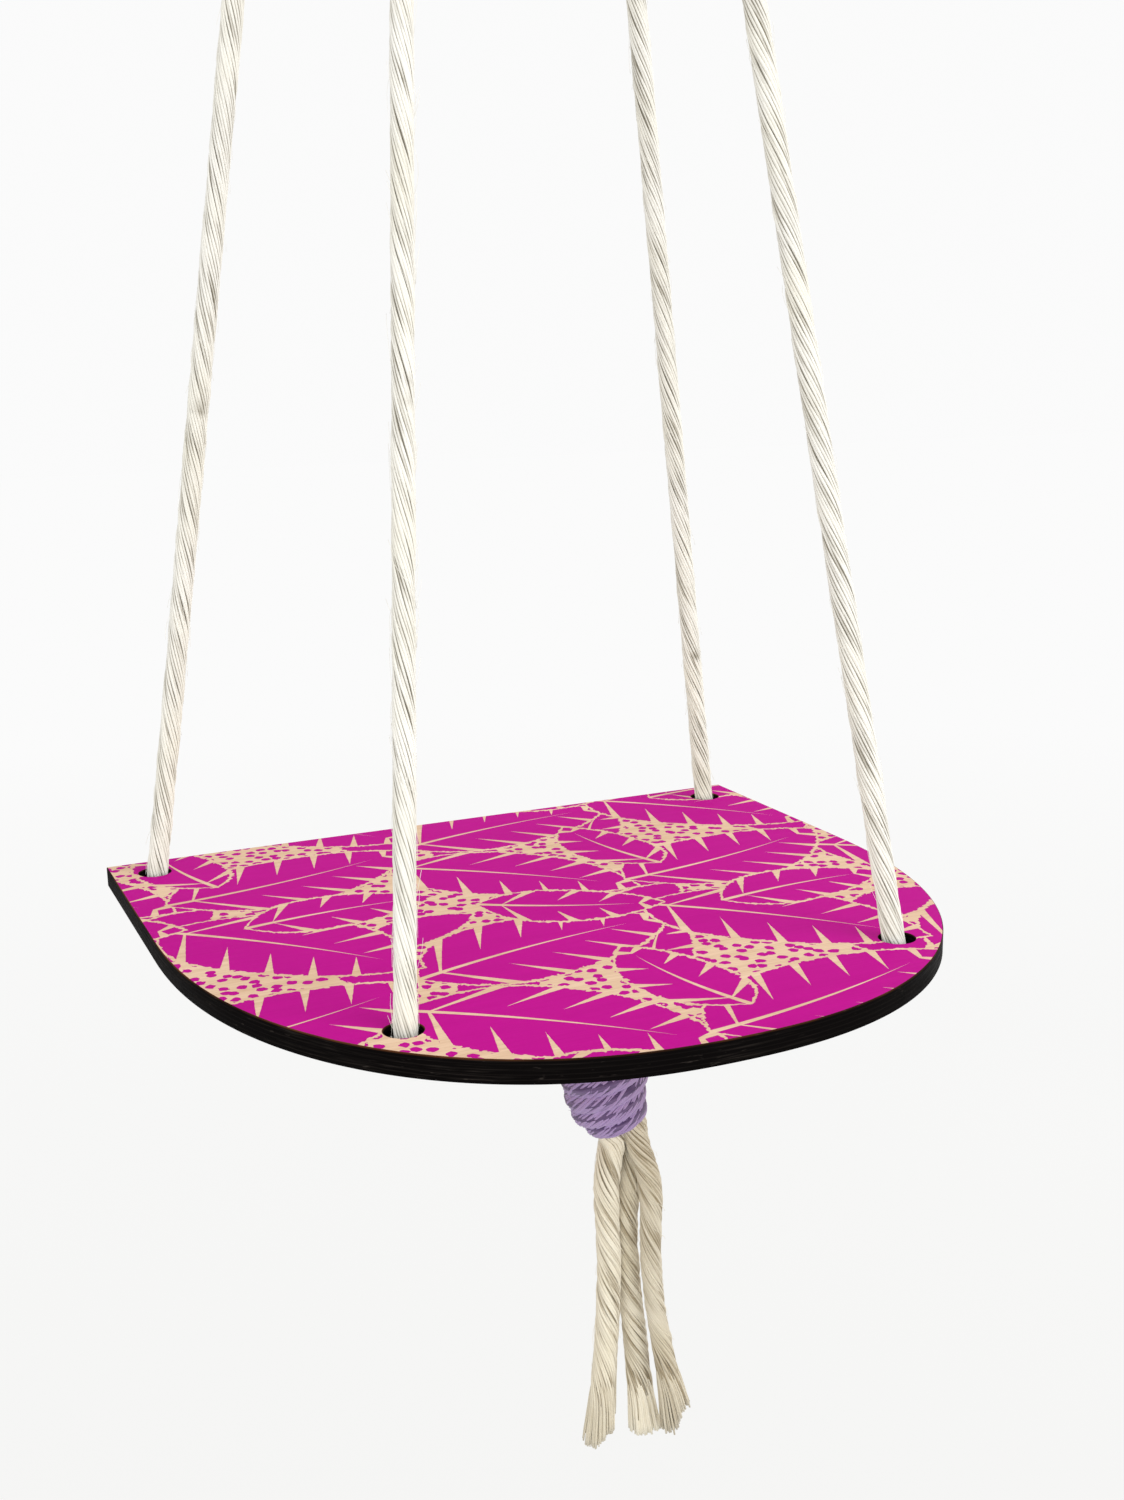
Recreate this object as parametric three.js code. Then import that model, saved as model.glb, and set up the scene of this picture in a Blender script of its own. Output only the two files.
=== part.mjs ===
// Hanging rope shelf: a D-shaped plywood board on four rope legs, two ropes doubled over a ring.
// Millimetres, +Z up, +X to the right seen from the front, +Y towards the wall.
// The origin is the point inside the ring's top that bears on the hook.

import * as THREE from 'three';

// Board
const boardWidth = 215;
const boardStraightSide = 74;
const boardNoseDepth = 128;
const boardThickness = 6;
const noseExponent = 2.26;
const noseSegments = 56;

// Rope holes: the margins run from the board's edges to the holes' centres, and the angle is round the nose
const ropeHoleDiameter = 9.5;
const backHoleSideMargin = 12.4;
const backHoleBackMargin = 12.3;
const frontHoleMargin = 11.4;
const frontHoleAngle = THREE.MathUtils.degToRad(47.34);
const holeSegments = 24;

// Rope
const ropeDiameter = 6;
const ropeSides = 10;
const ropeStepsPerSpan = 2;
const seatGap = 0.3;

// Ring, the ropes held together under it and the legs that part below them
const ringOuterDiameter = 70;
const ringThickness = 12;
const ringSectionSides = 12;
const ringSegments = 40;
const bundleLength = 38;
const legHeight = 572;
const hookToWall = 67.4;

// Rope over the ring
const bightClearance = 0.6;
const bightSpreadHeight = 19;
const bightSpreadSteps = 6;
const bightArcSteps = 12;
const flexGap = 0.95;

// Cord wound round the ropes under the ring
const whippingCord = 3;
const whippingPitch = 3.5;
const whippingTurns = 4;
const whippingLift = 2.5;

// Knot under the board: a core of gathered ropes with a thicker cord wound round it
const knotAcross = 0.3;
const knotInFromWall = 130.1;
const knotDepthUnderTop = 41;
const knotTurn = THREE.MathUtils.degToRad(-24);
const knotTilt = THREE.MathUtils.degToRad(-14);
const knotCord = 4.6;
const knotPitch = 5.3;
const knotTurns = 3.5;
const knotCoreTop = 12.5;
const knotCoreBottom = 12.2;
const knotWaistRadius = 7.6;
const knotThroatRadius = 5.6;
const knotWrapTop = 9.4;
const knotTaperStart = 2;
const coreProfileShares = [-1, -0.75, -0.5, -0.25, 0];
const coreSegments = 24;

// Windings
const windingSides = 6;
const windingStepsPerTurn = 24;

const ropeRadius = ropeDiameter / 2;
const bundleOffset = (ropeDiameter + seatGap) / 2;
const ringMidRadius = (ringOuterDiameter - ringThickness) / 2;
const ringInnerRadius = ringMidRadius - ringThickness / 2;
const legsPartDrop = ringInnerRadius + ringMidRadius + bundleLength;
const shelfDrop = legsPartDrop + legHeight;

const cotton = { color: 0xe9e6dc, roughness: 0.95, metalness: 0 };
const lilac = { color: 0x8d74a2, roughness: 0.95, metalness: 0 };
const birch = { color: 0xe8c9a6, roughness: 0.6, metalness: 0 };
const print = { color: 0xc71897, roughness: 0.5, metalness: 0 };

// A curve whose even steps fall on the listed points, so bends can have closer points than straight stretches.
class Route extends THREE.CatmullRomCurve3 {
  getPointAt(share, target) {
    return this.getPoint(share, target);
  }

  getTangentAt(share, target) {
    return this.getTangent(share, target);
  }
}

function mesh(name, geometry, finish) {
  const piece = new THREE.Mesh(geometry, new THREE.MeshStandardMaterial(finish));
  piece.name = name;
  return piece;
}

function polygon(radius, sides) {
  const points = [];
  for (let i = 0; i < sides; i += 1) {
    const angle = (2 * Math.PI * i) / sides;
    points.push(new THREE.Vector2(radius * Math.cos(angle), radius * Math.sin(angle)));
  }
  return new THREE.Shape(points);
}

function tube(points, diameter, sides, stepsPerSpan = 1) {
  const extrudePath = new Route(points);
  const steps = (points.length - 1) * stepsPerSpan;
  return new THREE.ExtrudeGeometry(polygon(diameter / 2, sides), { steps, extrudePath });
}

// Board

function noseHalfWidthAt(angle) {
  return (boardWidth / 2) * Math.abs(Math.cos(angle)) ** (2 / noseExponent) * Math.sign(Math.cos(angle));
}

function noseDepthAt(angle) {
  return boardNoseDepth * Math.sin(angle) ** (2 / noseExponent);
}

function boardOutline() {
  const points = [new THREE.Vector2(boardWidth / 2, 0), new THREE.Vector2(-boardWidth / 2, 0)];
  for (let i = 0; i <= noseSegments; i += 1) {
    const angle = (Math.PI * i) / noseSegments;
    const forward = i === 0 || i === noseSegments ? 0 : noseDepthAt(angle);
    points.push(new THREE.Vector2(-noseHalfWidthAt(angle), -boardStraightSide - forward));
  }
  return points;
}

// The right front hole lies its margin inwards from the nose, square to the nose's curve.
function frontHolePlace() {
  const edge = new THREE.Vector2(noseHalfWidthAt(frontHoleAngle), noseDepthAt(frontHoleAngle));
  const halfWidth = boardWidth / 2;
  const outward = new THREE.Vector2(
    (edge.x / halfWidth) ** (noseExponent - 1) / halfWidth,
    (edge.y / boardNoseDepth) ** (noseExponent - 1) / boardNoseDepth,
  ).setLength(frontHoleMargin);
  return edge.sub(outward);
}

function holePlaces() {
  const front = frontHolePlace();
  const frontDepth = -boardStraightSide - front.y;
  const backAcross = boardWidth / 2 - backHoleSideMargin;
  return [
    [-front.x, frontDepth],
    [front.x, frontDepth],
    [-backAcross, -backHoleBackMargin],
    [backAcross, -backHoleBackMargin],
  ];
}

function shelfBoard() {
  const outline = new THREE.Shape(boardOutline());
  for (const [x, y] of holePlaces()) {
    const points = polygon(ropeHoleDiameter / 2, holeSegments).getPoints();
    outline.holes.push(new THREE.Path(points.map((p) => new THREE.Vector2(p.x + x, p.y + y))));
  }
  const board = new THREE.ExtrudeGeometry(outline, { depth: boardThickness, bevelEnabled: false });
  board.translate(0, 0, -boardThickness);
  return mesh('shelf_board', board, print);
}

// Rope routes, millimetres from the middle of the board's top back edge, listed for the left side.
// A leg runs from the ring's whipping down to the board's top face.

const legRoutes = {
  front: [
    [-3.2, -70.6, 572], [-3.2, -70.6, 569], [-3.8, -71.6, 564], [-5.3, -73.5, 555], [-10.3, -79.1, 520],
    [-20.0, -90.7, 450], [-29.4, -102.3, 380], [-37.8, -113.8, 310], [-43.7, -123.6, 250],
    [-48.4, -131.5, 200], [-54.9, -142.5, 130], [-61.5, -153.6, 60], [-67.1, -163.1, 0.2],
  ],
  back: [
    [-3.2, -64.2, 572], [-3.2, -64.2, 569], [-4.1, -63.8, 564], [-5.9, -62.9, 555], [-12.8, -59.6, 520],
    [-26.2, -53.2, 450], [-39.0, -46.8, 380], [-50.8, -40.6, 310], [-59.6, -35.2, 250],
    [-66.6, -30.7, 200], [-76.3, -24.5, 130], [-86.0, -18.3, 60], [-94.4, -12.9, 0.2],
  ],
};

// A run goes from the board's top face through the hole, bends under the board and reaches the knot's core.

const runRoutes = {
  front_left: [
    [-67.1, -163.1, -0.2], [-67.3, -163.5, -2.4], [-67.4, -163.6, -4.8], [-66.9, -163.4, -7.2],
    [-65.1, -162.5, -9.3], [-62.0, -161.0, -10.8], [-57.5, -158.8, -11.4], [-46.0, -153.0, -12.0],
    [-32.0, -146.0, -13.1], [-20.0, -139.6, -14.4], [-12.2, -134.2, -16.6], [-8.4, -131.5, -20.2],
    [-7.1, -130.6, -24.8], [-6.5, -130.3, -28.2],
  ],
  front_right: [
    [67.1, -163.1, -0.2], [67.3, -163.5, -2.4], [67.4, -163.6, -4.8], [66.9, -163.4, -7.2],
    [65.1, -162.5, -9.3], [62.0, -161.0, -10.8], [57.5, -158.8, -11.4], [44.0, -152.0, -12.0],
    [29.0, -145.0, -12.8], [14.5, -139.0, -13.6], [5.0, -135.3, -15.4], [0.2, -133.5, -18.9],
    [-1.4, -132.9, -23.2], [-1.0, -132.9, -26.7],
  ],
  back_left: [
    [-94.4, -12.9, -0.2], [-94.7, -12.7, -2.4], [-94.9, -12.5, -4.8], [-94.5, -13.0, -7.2],
    [-93.2, -14.7, -9.3], [-91.1, -17.3, -10.8], [-88.0, -21.2, -11.4], [-70.0, -44.2, -12.4],
    [-50.0, -69.0, -13.6], [-30.0, -93.6, -14.4], [-13.5, -113.0, -15.6], [-7.6, -120.6, -17.6],
    [-5.0, -124.0, -22.4], [-4.2, -124.7, -27.6],
  ],
  back_right: [
    [94.4, -12.9, -0.2], [94.7, -12.7, -2.4], [94.9, -12.5, -4.8], [94.5, -13.0, -7.2],
    [93.2, -14.7, -9.3], [91.1, -17.3, -10.8], [88.0, -21.2, -11.4], [69.0, -44.2, -12.2],
    [48.0, -70.0, -13.0], [27.5, -95.5, -13.4], [10.8, -116.3, -14.2], [4.0, -124.3, -16.6],
    [1.6, -126.9, -21.4], [1.7, -127.1, -26.7],
  ],
};

// A tail hangs from the knot's throat to its loose end.

const tailRoutes = {
  front_left: [
    [-1.0, -133.1, -54.2], [-0.7, -133.2, -55.5], [-1.5, -133.3, -60], [-2.6, -133.4, -68], [-2.7, -133.6, -78],
    [-2.3, -133.7, -90], [-2.7, -133.6, -102], [-3.4, -133.4, -114], [-4.4, -133.1, -126], [-5.0, -132.9, -137],
    [-5.4, -132.7, -146.2],
  ],
  back_left: [
    [1.6, -127.4, -54.2], [1.9, -127.5, -55.5], [1.8, -127.0, -60], [1.4, -125.6, -68], [1.6, -124.7, -78],
    [2.2, -124.4, -90], [2.4, -124.2, -102], [2.1, -123.9, -114], [1.3, -123.4, -126], [0.6, -123.0, -138],
    [0.3, -122.8, -145],
  ],
  front_right: [
    [4.6, -135.6, -52.7], [4.9, -135.7, -53.9], [5.9, -136.3, -58], [7.5, -137.2, -64], [8.5, -137.9, -72],
    [8.3, -138.0, -82], [8.4, -138.0, -93], [9.3, -138.4, -105], [10.9, -139.1, -117], [12.8, -140.0, -129],
    [15.0, -141.0, -142.5],
  ],
  back_right: [
    [7.2, -129.9, -52.7], [7.5, -130.0, -53.9], [7.7, -130.1, -58], [6.9, -130.2, -64], [5.3, -130.4, -72],
    [4.3, -130.8, -82], [4.5, -131.1, -93], [5.2, -131.5, -105], [6.1, -131.9, -117], [7.1, -132.4, -130],
    [8.0, -132.8, -148.5],
  ],
};

function alongSide(points, side) {
  return points.map(([x, y, z]) => new THREE.Vector3(side === 'left' ? x : -x, y, z));
}

function ropeLegs() {
  const legs = [];
  for (const [end, points] of Object.entries(legRoutes)) {
    for (const side of ['left', 'right']) {
      const geometry = tube(alongSide(points, side), ropeDiameter, ropeSides, ropeStepsPerSpan);
      legs.push(mesh(`rope_leg_${end}_${side}`, geometry, cotton));
    }
  }
  return legs;
}

function ropeStretches(kind, routes) {
  return Object.entries(routes).map(([place, points]) => {
    const route = points.map((point) => new THREE.Vector3(...point));
    return mesh(`${kind}_${place}`, tube(route, ropeDiameter, ropeSides, ropeStepsPerSpan), cotton);
  });
}

// Windings

function leastSelfGap(points, diameter, stepsPerTurn) {
  let least = Infinity;
  for (let i = 0; i < points.length; i += 1) {
    for (let j = i + Math.round(stepsPerTurn / 2); j < points.length; j += 1) {
      least = Math.min(least, points[i].distanceTo(points[j]) - diameter);
    }
  }
  return least;
}

// Turns of one unbroken cord; radiusAt gives the middle of the cord at a height, and each end runs straight.
function winding(cord, pitch, turns, bottom, radiusAt) {
  const points = [];
  const count = Math.round(turns * windingStepsPerTurn);
  for (let i = 0; i <= count; i += 1) {
    const angle = (2 * Math.PI * i) / windingStepsPerTurn;
    const height = bottom + (pitch * i) / windingStepsPerTurn;
    const radius = radiusAt(height);
    points.push(new THREE.Vector3(radius * Math.cos(angle), radius * Math.sin(angle), height));
  }
  const straightOn = (from, towards) => {
    return towards.clone().sub(from).setLength(cord).add(towards);
  };
  const before = straightOn(points[1], points[0]);
  const after = straightOn(points[count - 1], points[count]);
  return [before, ...points, after];
}

function windingMesh(name, points, cord) {
  console.log(`${name}: least gap to itself ${leastSelfGap(points, cord, windingStepsPerTurn).toFixed(2)} mm`);
  return mesh(name, tube(points, cord, windingSides), lilac);
}

// Knot under the board

const knotWrapBottom = knotWrapTop - knotPitch * knotTurns;

function knotCoreRadiusAt(height) {
  const share = THREE.MathUtils.clamp((-knotTaperStart - height) / (knotCoreBottom - knotTaperStart), 0, 1);
  return knotWaistRadius + (knotThroatRadius - knotWaistRadius) * share * share;
}

function knot() {
  const profile = [new THREE.Vector2(0, -knotCoreBottom)];
  const heights = coreProfileShares.map((share) => share * knotCoreBottom);
  for (const height of [...heights, knotCoreTop]) {
    profile.push(new THREE.Vector2(knotCoreRadiusAt(height), height));
  }
  profile.push(new THREE.Vector2(0, knotCoreTop));
  const core = new THREE.LatheGeometry(profile, coreSegments);
  core.rotateX(Math.PI / 2);

  const wrapRadiusAt = (height) => knotCoreRadiusAt(height) + seatGap + knotCord / 2;
  const turns = winding(knotCord, knotPitch, knotTurns, knotWrapBottom, wrapRadiusAt);

  const group = new THREE.Group();
  group.add(mesh('knot_core', core, cotton));
  group.add(windingMesh('knot_wrap', turns, knotCord));
  group.rotation.set(0, knotTilt, knotTurn, 'ZYX');
  group.position.set(knotAcross, -knotInFromWall, -knotDepthUnderTop);
  return group;
}

// Hanger: the ropes doubled over the ring and the cord wound round them

function bightRoute(x) {
  const radius = ringThickness / 2 + bightClearance + ropeRadius;
  const ringLow = -ringInnerRadius - ringMidRadius;
  const spreadLow = ringLow - bightSpreadHeight;
  const front = [[bundleOffset, -legsPartDrop + flexGap], [bundleOffset, (spreadLow - legsPartDrop) / 2]];
  for (let i = 0; i < bightSpreadSteps; i += 1) {
    const share = i / bightSpreadSteps;
    const across = bundleOffset + (radius - bundleOffset) * THREE.MathUtils.smoothstep(share, 0, 1);
    front.push([across, spreadLow + share * bightSpreadHeight]);
  }
  const over = [];
  for (let i = 0; i <= bightArcSteps; i += 1) {
    const angle = (Math.PI * i) / bightArcSteps;
    over.push([radius * Math.cos(angle), ringLow + radius * Math.sin(angle)]);
  }
  const back = front.map(([y, z]) => [-y, z]).reverse();
  return [...front, ...over, ...back].map(([y, z]) => new THREE.Vector3(x, -y, z));
}

function hanger() {
  const ring = new THREE.TorusGeometry(ringMidRadius, ringThickness / 2, ringSectionSides, ringSegments);
  ring.rotateX(Math.PI / 2);
  ring.translate(0, 0, -ringInnerRadius);

  const bundleRadius = bundleOffset * Math.SQRT2 + ropeRadius;
  const whippingRadius = bundleRadius + seatGap + whippingCord / 2;
  const whippingBottom = -legsPartDrop + whippingLift;
  const turns = winding(whippingCord, whippingPitch, whippingTurns, whippingBottom, () => whippingRadius);

  const group = new THREE.Group();
  group.add(mesh('hanging_ring', ring, birch));
  group.add(mesh('rope_bight_left', tube(bightRoute(-bundleOffset), ropeDiameter, ropeSides), cotton));
  group.add(mesh('rope_bight_right', tube(bightRoute(bundleOffset), ropeDiameter, ropeSides), cotton));
  group.add(windingMesh('top_whipping', turns, whippingCord));
  return group;
}

const shelf = new THREE.Group();
shelf.add(shelfBoard());
shelf.add(...ropeLegs());
shelf.add(...ropeStretches('rope_run', runRoutes));
shelf.add(knot());
shelf.add(...ropeStretches('rope_tail', tailRoutes));
shelf.position.set(0, hookToWall, -shelfDrop);

const hangingRopeShelf = new THREE.Group();
hangingRopeShelf.add(hanger());
hangingRopeShelf.add(shelf);

export default hangingRopeShelf;
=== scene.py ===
"""Hanging rope shelf, dressed for its photograph.

Lengths are in metres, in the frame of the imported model: the origin is inside the top of the ring,
+Z is up, +X is to the right seen from the front and +Y points to the wall.
"""

import logging
import math
from collections.abc import Sequence
from dataclasses import dataclass
from enum import Enum

import bmesh
import bpy
import numpy as np
from mathutils import Euler, Matrix, Vector


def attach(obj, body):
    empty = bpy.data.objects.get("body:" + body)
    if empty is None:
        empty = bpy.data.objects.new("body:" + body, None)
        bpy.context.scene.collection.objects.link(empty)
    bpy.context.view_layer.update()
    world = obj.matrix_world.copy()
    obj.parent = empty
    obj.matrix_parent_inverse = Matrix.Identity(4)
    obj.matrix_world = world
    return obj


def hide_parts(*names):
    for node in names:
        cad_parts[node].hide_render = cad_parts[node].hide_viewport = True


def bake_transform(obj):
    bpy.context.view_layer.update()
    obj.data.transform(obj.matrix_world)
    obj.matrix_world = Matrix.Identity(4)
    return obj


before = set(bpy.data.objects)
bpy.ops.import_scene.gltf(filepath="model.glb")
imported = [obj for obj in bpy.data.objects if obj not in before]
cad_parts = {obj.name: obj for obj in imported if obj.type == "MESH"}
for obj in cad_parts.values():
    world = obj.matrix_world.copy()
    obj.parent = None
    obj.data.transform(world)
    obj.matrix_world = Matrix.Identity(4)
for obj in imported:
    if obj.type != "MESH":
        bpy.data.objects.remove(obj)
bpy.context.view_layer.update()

log = logging.getLogger("hanging_rope_shelf")

Socket = bpy.types.NodeSocket
Feed = Socket | float | tuple[float, ...]
Colour = tuple[float, float, float, float]
Point = tuple[float, float, float]

# From the middle of the board's top back edge to the frame's origin
BOARD_PLACE = np.array((0.0, 0.0674, -0.662))
BOARD_THICKNESS = 0.006
# The level direction across the loose ends, from the left one to the right one
ACROSS_TAILS = np.array((0.913, -0.408, 0.0))
STRAND_SIDES = 8
# How near each other the corners of a sweep and of a spun form are joined
SWEPT_JOIN = 1e-7
SPUN_JOIN = 1e-6


class Side(Enum):
    """The two sides of the shelf, seen from the front."""

    LEFT = "left"
    RIGHT = "right"


class End(Enum):
    """The two ends of a rope that is doubled over the ring."""

    FRONT = "front"
    BACK = "back"


def srgb(*channels: float) -> Colour:
    """Turns red, green and blue of 0 to 255 into Blender's linear colour with full alpha."""
    shares = [channel / 255 for channel in channels]
    return (*(s / 12.92 if s <= 0.04045 else ((s + 0.055) / 1.055) ** 2.4 for s in shares), 1.0)


class Graph:
    """Adds nodes to one node tree and feeds them."""

    def __init__(self, tree: bpy.types.NodeTree) -> None:
        """Starts on a node tree."""
        self.tree = tree

    def add(self, kind: str, inputs: dict[str | int, Feed] | None = None,
            **settings: object) -> bpy.types.Node:
        """Adds one node.

        Args:
            kind: The node's Blender type, after the word ShaderNode.
            inputs: What feeds its inputs, by name or number: an output socket or a plain value.
            settings: Properties of the node.

        Returns:
            The new node.
        """
        node = self.tree.nodes.new(f"ShaderNode{kind}")
        for name, value in settings.items():
            setattr(node, name, value)
        for name, value in (inputs or {}).items():
            if isinstance(value, bpy.types.NodeSocket):
                self.tree.links.new(value, node.inputs[name])
            else:
                node.inputs[name].default_value = value
        return node

    def calc(self, operation: str, *values: Feed, clamp: bool = False) -> Socket:
        """Adds a Math node of an operation and returns its result, held between 0 and 1 if clamp is set."""
        return self.add("Math", dict(enumerate(values)), operation=operation, use_clamp=clamp).outputs[0]

    def noise(self, place: Socket, fineness: Point, detail: float = 2.0, roughness: float = 0.5) -> Socket:
        """Adds a noise texture.

        Args:
            place: Where the noise is read.
            fineness: How fine it is along each axis.
            detail: Its octaves.
            roughness: How strong the finer octaves are.

        Returns:
            The noise, from 0 to 1.
        """
        stretched = self.add("VectorMath", {0: place, 1: fineness}, operation="MULTIPLY").outputs[0]
        inputs = {"Vector": stretched, "Scale": 1.0, "Detail": detail, "Roughness": roughness}
        return self.add("TexNoise", inputs).outputs["Fac"]

    def fit(self, value: Feed, low: float, high: float, start: float = 0.0, stop: float = 1.0) -> Socket:
        """Maps a value from the range of low to high onto the one of start to stop, and holds it there."""
        return self.add("MapRange", dict(enumerate((value, low, high, start, stop))), clamp=True).outputs[0]

    def mix(self, share: Feed, first: Feed, second: Feed) -> Socket:
        """Mixes two colours, with a share of the second one."""
        return self.add("Mix", {0: share, 6: first, 7: second}, data_type="RGBA").outputs[2]

    def bump(self, height: Socket, depth: float, strength: float) -> Socket:
        """Returns a normal that is bumped by a height of 0 to 1, of which 1 is so many metres deep."""
        inputs = {"Height": height, "Distance": depth, "Strength": strength}
        return self.add("Bump", inputs).outputs["Normal"]

    def attribute(self, name: str, output: str = "Fac") -> Socket:
        """Reads an attribute of the mesh, as a number or by another output of the node."""
        return self.add("Attribute", attribute_name=name).outputs[output]

    def place(self) -> Socket:
        """Returns the place on the piece, in metres."""
        return self.add("TexCoord").outputs["Object"]

    def seen(self, glass: bool = False) -> Socket:
        """Finds what is seen rather than lights the shelf.

        Args:
            glass: Whether what is seen through glass counts too.

        Returns:
            1 where it is seen by the camera or in gloss, and 0 elsewhere.
        """
        rays = self.add("LightPath").outputs
        seen = self.calc("MAXIMUM", rays["Is Camera Ray"], rays["Is Glossy Ray"])
        return self.calc("MAXIMUM", seen, rays["Is Transmission Ray"]) if glass else seen

    def either(self, share: Feed, first: bpy.types.Node, second: bpy.types.Node) -> Socket:
        """Mixes two shaders, with a share of the second one."""
        return self.add("MixShader", {0: share, 1: first.outputs[0], 2: second.outputs[0]}).outputs[0]


def cleared(owner: bpy.types.Material | bpy.types.World) -> Graph:
    """Empties the node tree of a material or world.

    Args:
        owner: The material or world.

    Returns:
        The graph of its tree.
    """
    owner.use_nodes = True
    owner.node_tree.nodes.clear()
    return Graph(owner.node_tree)


class Group(Graph):
    """A node group under construction. Its input Place is a vector, and all else are numbers."""

    def __init__(self, name: str, inputs: Sequence[str], outputs: Sequence[str]) -> None:
        """Makes the group and its sockets.

        Args:
            name: The group's name.
            inputs: The names of its inputs.
            outputs: The names of its outputs.
        """
        super().__init__(bpy.data.node_groups.new(name, "ShaderNodeTree"))
        for way, names in (("INPUT", inputs), ("OUTPUT", outputs)):
            for socket in names:
                kind = "NodeSocketVector" if socket == "Place" else "NodeSocketFloat"
                self.tree.interface.new_socket(name=socket, in_out=way, socket_type=kind)
        self.given = self.tree.nodes.new("NodeGroupInput").outputs
        self.results = self.tree.nodes.new("NodeGroupOutput").inputs

    def put(self, **values: Socket) -> bpy.types.NodeTree:
        """Links the group's outputs.

        Args:
            values: What each output gives.

        Returns:
            The finished group.
        """
        for name, value in values.items():
            self.tree.links.new(value, self.results[name])
        return self.tree


class Effects:
    """The shader node groups that the finishes share, each built once."""

    def __init__(self) -> None:
        """Builds the groups."""
        self.fibre = self._fibre()
        self.grain = self._grain()
        self.leaf = self._leaf()

    def _fibre(self) -> bpy.types.NodeTree:
        """Builds the spun fibres on a yarn: streaks along it, and the painted shade between yarns.

        Returns:
            The group.
        """
        group = Group("spun_fibre", ("Place", "Crease shade", "Tone", "Depth", "Sharpness"), ("Shade", "Height"))
        given = group.given
        fine = group.noise(given["Place"], (5200.0, 420.0, 1.0), 3.0, 0.6)
        slow = group.noise(given["Place"], (700.0, 70.0, 1.0))
        # Painted shade: the deeper a yarn lies between its neighbours, the more of the crease colour it gets
        dark = group.calc("POWER", group.fit(given["Crease shade"], 0.0, 1.0), given["Sharpness"])
        dark = group.calc("MULTIPLY", dark, given["Depth"])
        dark = group.calc("MULTIPLY", dark, group.fit(slow, 0.25, 0.75, 0.7, 1.3))
        shade = group.calc("ADD", dark, group.fit(fine, 0.3, 0.75, -0.07, 0.14))
        shade = group.calc("ADD", shade, given["Tone"], clamp=True)
        return group.put(Shade=shade, Height=fine)

    def _grain(self) -> bpy.types.NodeTree:
        """Builds fine wood grain along X.

        Returns:
            The group.
        """
        group = Group("birch_grain", ("Place",), ("Tone", "Pores"))
        place = group.given["Place"]
        warp = group.noise(place, (9.0, 30.0, 30.0))
        along = group.noise(place, (14.0, 260.0, 260.0), 3.0, 0.55)
        fine = group.noise(place, (90.0, 2600.0, 2600.0), 2.0, 0.6)
        flecks = group.noise(place, (420.0, 5200.0, 5200.0), 1.0)
        broad = group.fit(warp, 0.3, 0.7, 0.0, 0.25)
        tone = group.calc("MULTIPLY_ADD", group.fit(along, 0.3, 0.7), 0.4, broad)
        tone = group.calc("MULTIPLY_ADD", group.fit(fine, 0.3, 0.7), 0.5, tone)
        tone = group.calc("MULTIPLY", tone, 0.92, clamp=True)
        return group.put(Tone=tone, Pores=group.fit(flecks, 0.62, 0.74))

    def _leaf(self) -> bpy.types.NodeTree:
        """Builds one printed leaf, stamped over what is printed under it.

        Returns:
            The group. Its lengths are in millimetres.
        """
        inputs = ("Across", "Deep", "Wobble", "Ink", "Middle across", "Middle deep", "Angle", "Half length",
                  "Half width", "Bend", "Carved")
        group = Group("printed_leaf", inputs, ("Ink",))
        calc = group.calc
        given = group.given
        tile = PrintTile
        cosine = calc("COSINE", given["Angle"])
        sine = calc("SINE", given["Angle"])
        x = calc("SUBTRACT", given["Across"], given["Middle across"])
        x = calc("WRAP", x, tile.across / 2, -tile.across / 2)
        y = calc("SUBTRACT", given["Deep"], given["Middle deep"])
        y = calc("WRAP", y, tile.deep / 2, -tile.deep / 2)
        along = calc("MULTIPLY_ADD", x, cosine, calc("MULTIPLY", y, sine))
        beside = calc("SUBTRACT", calc("MULTIPLY", y, cosine), calc("MULTIPLY", x, sine))
        share = calc("DIVIDE", along, given["Half length"])
        dome = calc("SUBTRACT", 1.0, calc("MULTIPLY", share, share))
        curve = calc("MULTIPLY", calc("MULTIPLY", given["Bend"], given["Half width"]), dome)
        off_rib = calc("ABSOLUTE", calc("SUBTRACT", beside, curve))
        lopsided = calc("MULTIPLY_ADD", share, -tile.lopsided, 1.0)
        full = calc("MULTIPLY", dome, calc("MULTIPLY_ADD", dome, 1 - tile.fullness, tile.fullness))
        width = calc("MULTIPLY", calc("MULTIPLY", given["Half width"], full), lopsided)
        inside = calc("ADD", calc("SUBTRACT", width, off_rib), given["Wobble"])
        covers = calc("GREATER_THAN", inside, -tile.rim)
        body = calc("GREATER_THAN", inside, 0.0)
        rib = calc("MULTIPLY", calc("SUBTRACT", tile.rib_end, share), tile.rib / 2)
        slanted = calc("MULTIPLY_ADD", off_rib, -tile.cut_slope, along)
        wave = calc("PINGPONG", calc("DIVIDE", slanted, tile.cut_gap), 0.5)
        inwards = calc("DIVIDE", inside, given["Half width"])
        taper = calc("MULTIPLY_ADD", inwards, -tile.cut_reach, 1.0, clamp=True)
        between = calc("LESS_THAN", wave, calc("MULTIPLY_ADD", taper, -tile.cut, 0.5))
        uncut = calc("MULTIPLY", calc("GREATER_THAN", off_rib, rib), between)
        uncut = calc("MAXIMUM", uncut, calc("SUBTRACT", 1.0, given["Carved"]))
        change = calc("SUBTRACT", calc("MULTIPLY", body, uncut), given["Ink"])
        return group.put(Ink=calc("MULTIPLY_ADD", covers, change, given["Ink"]))


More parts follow.
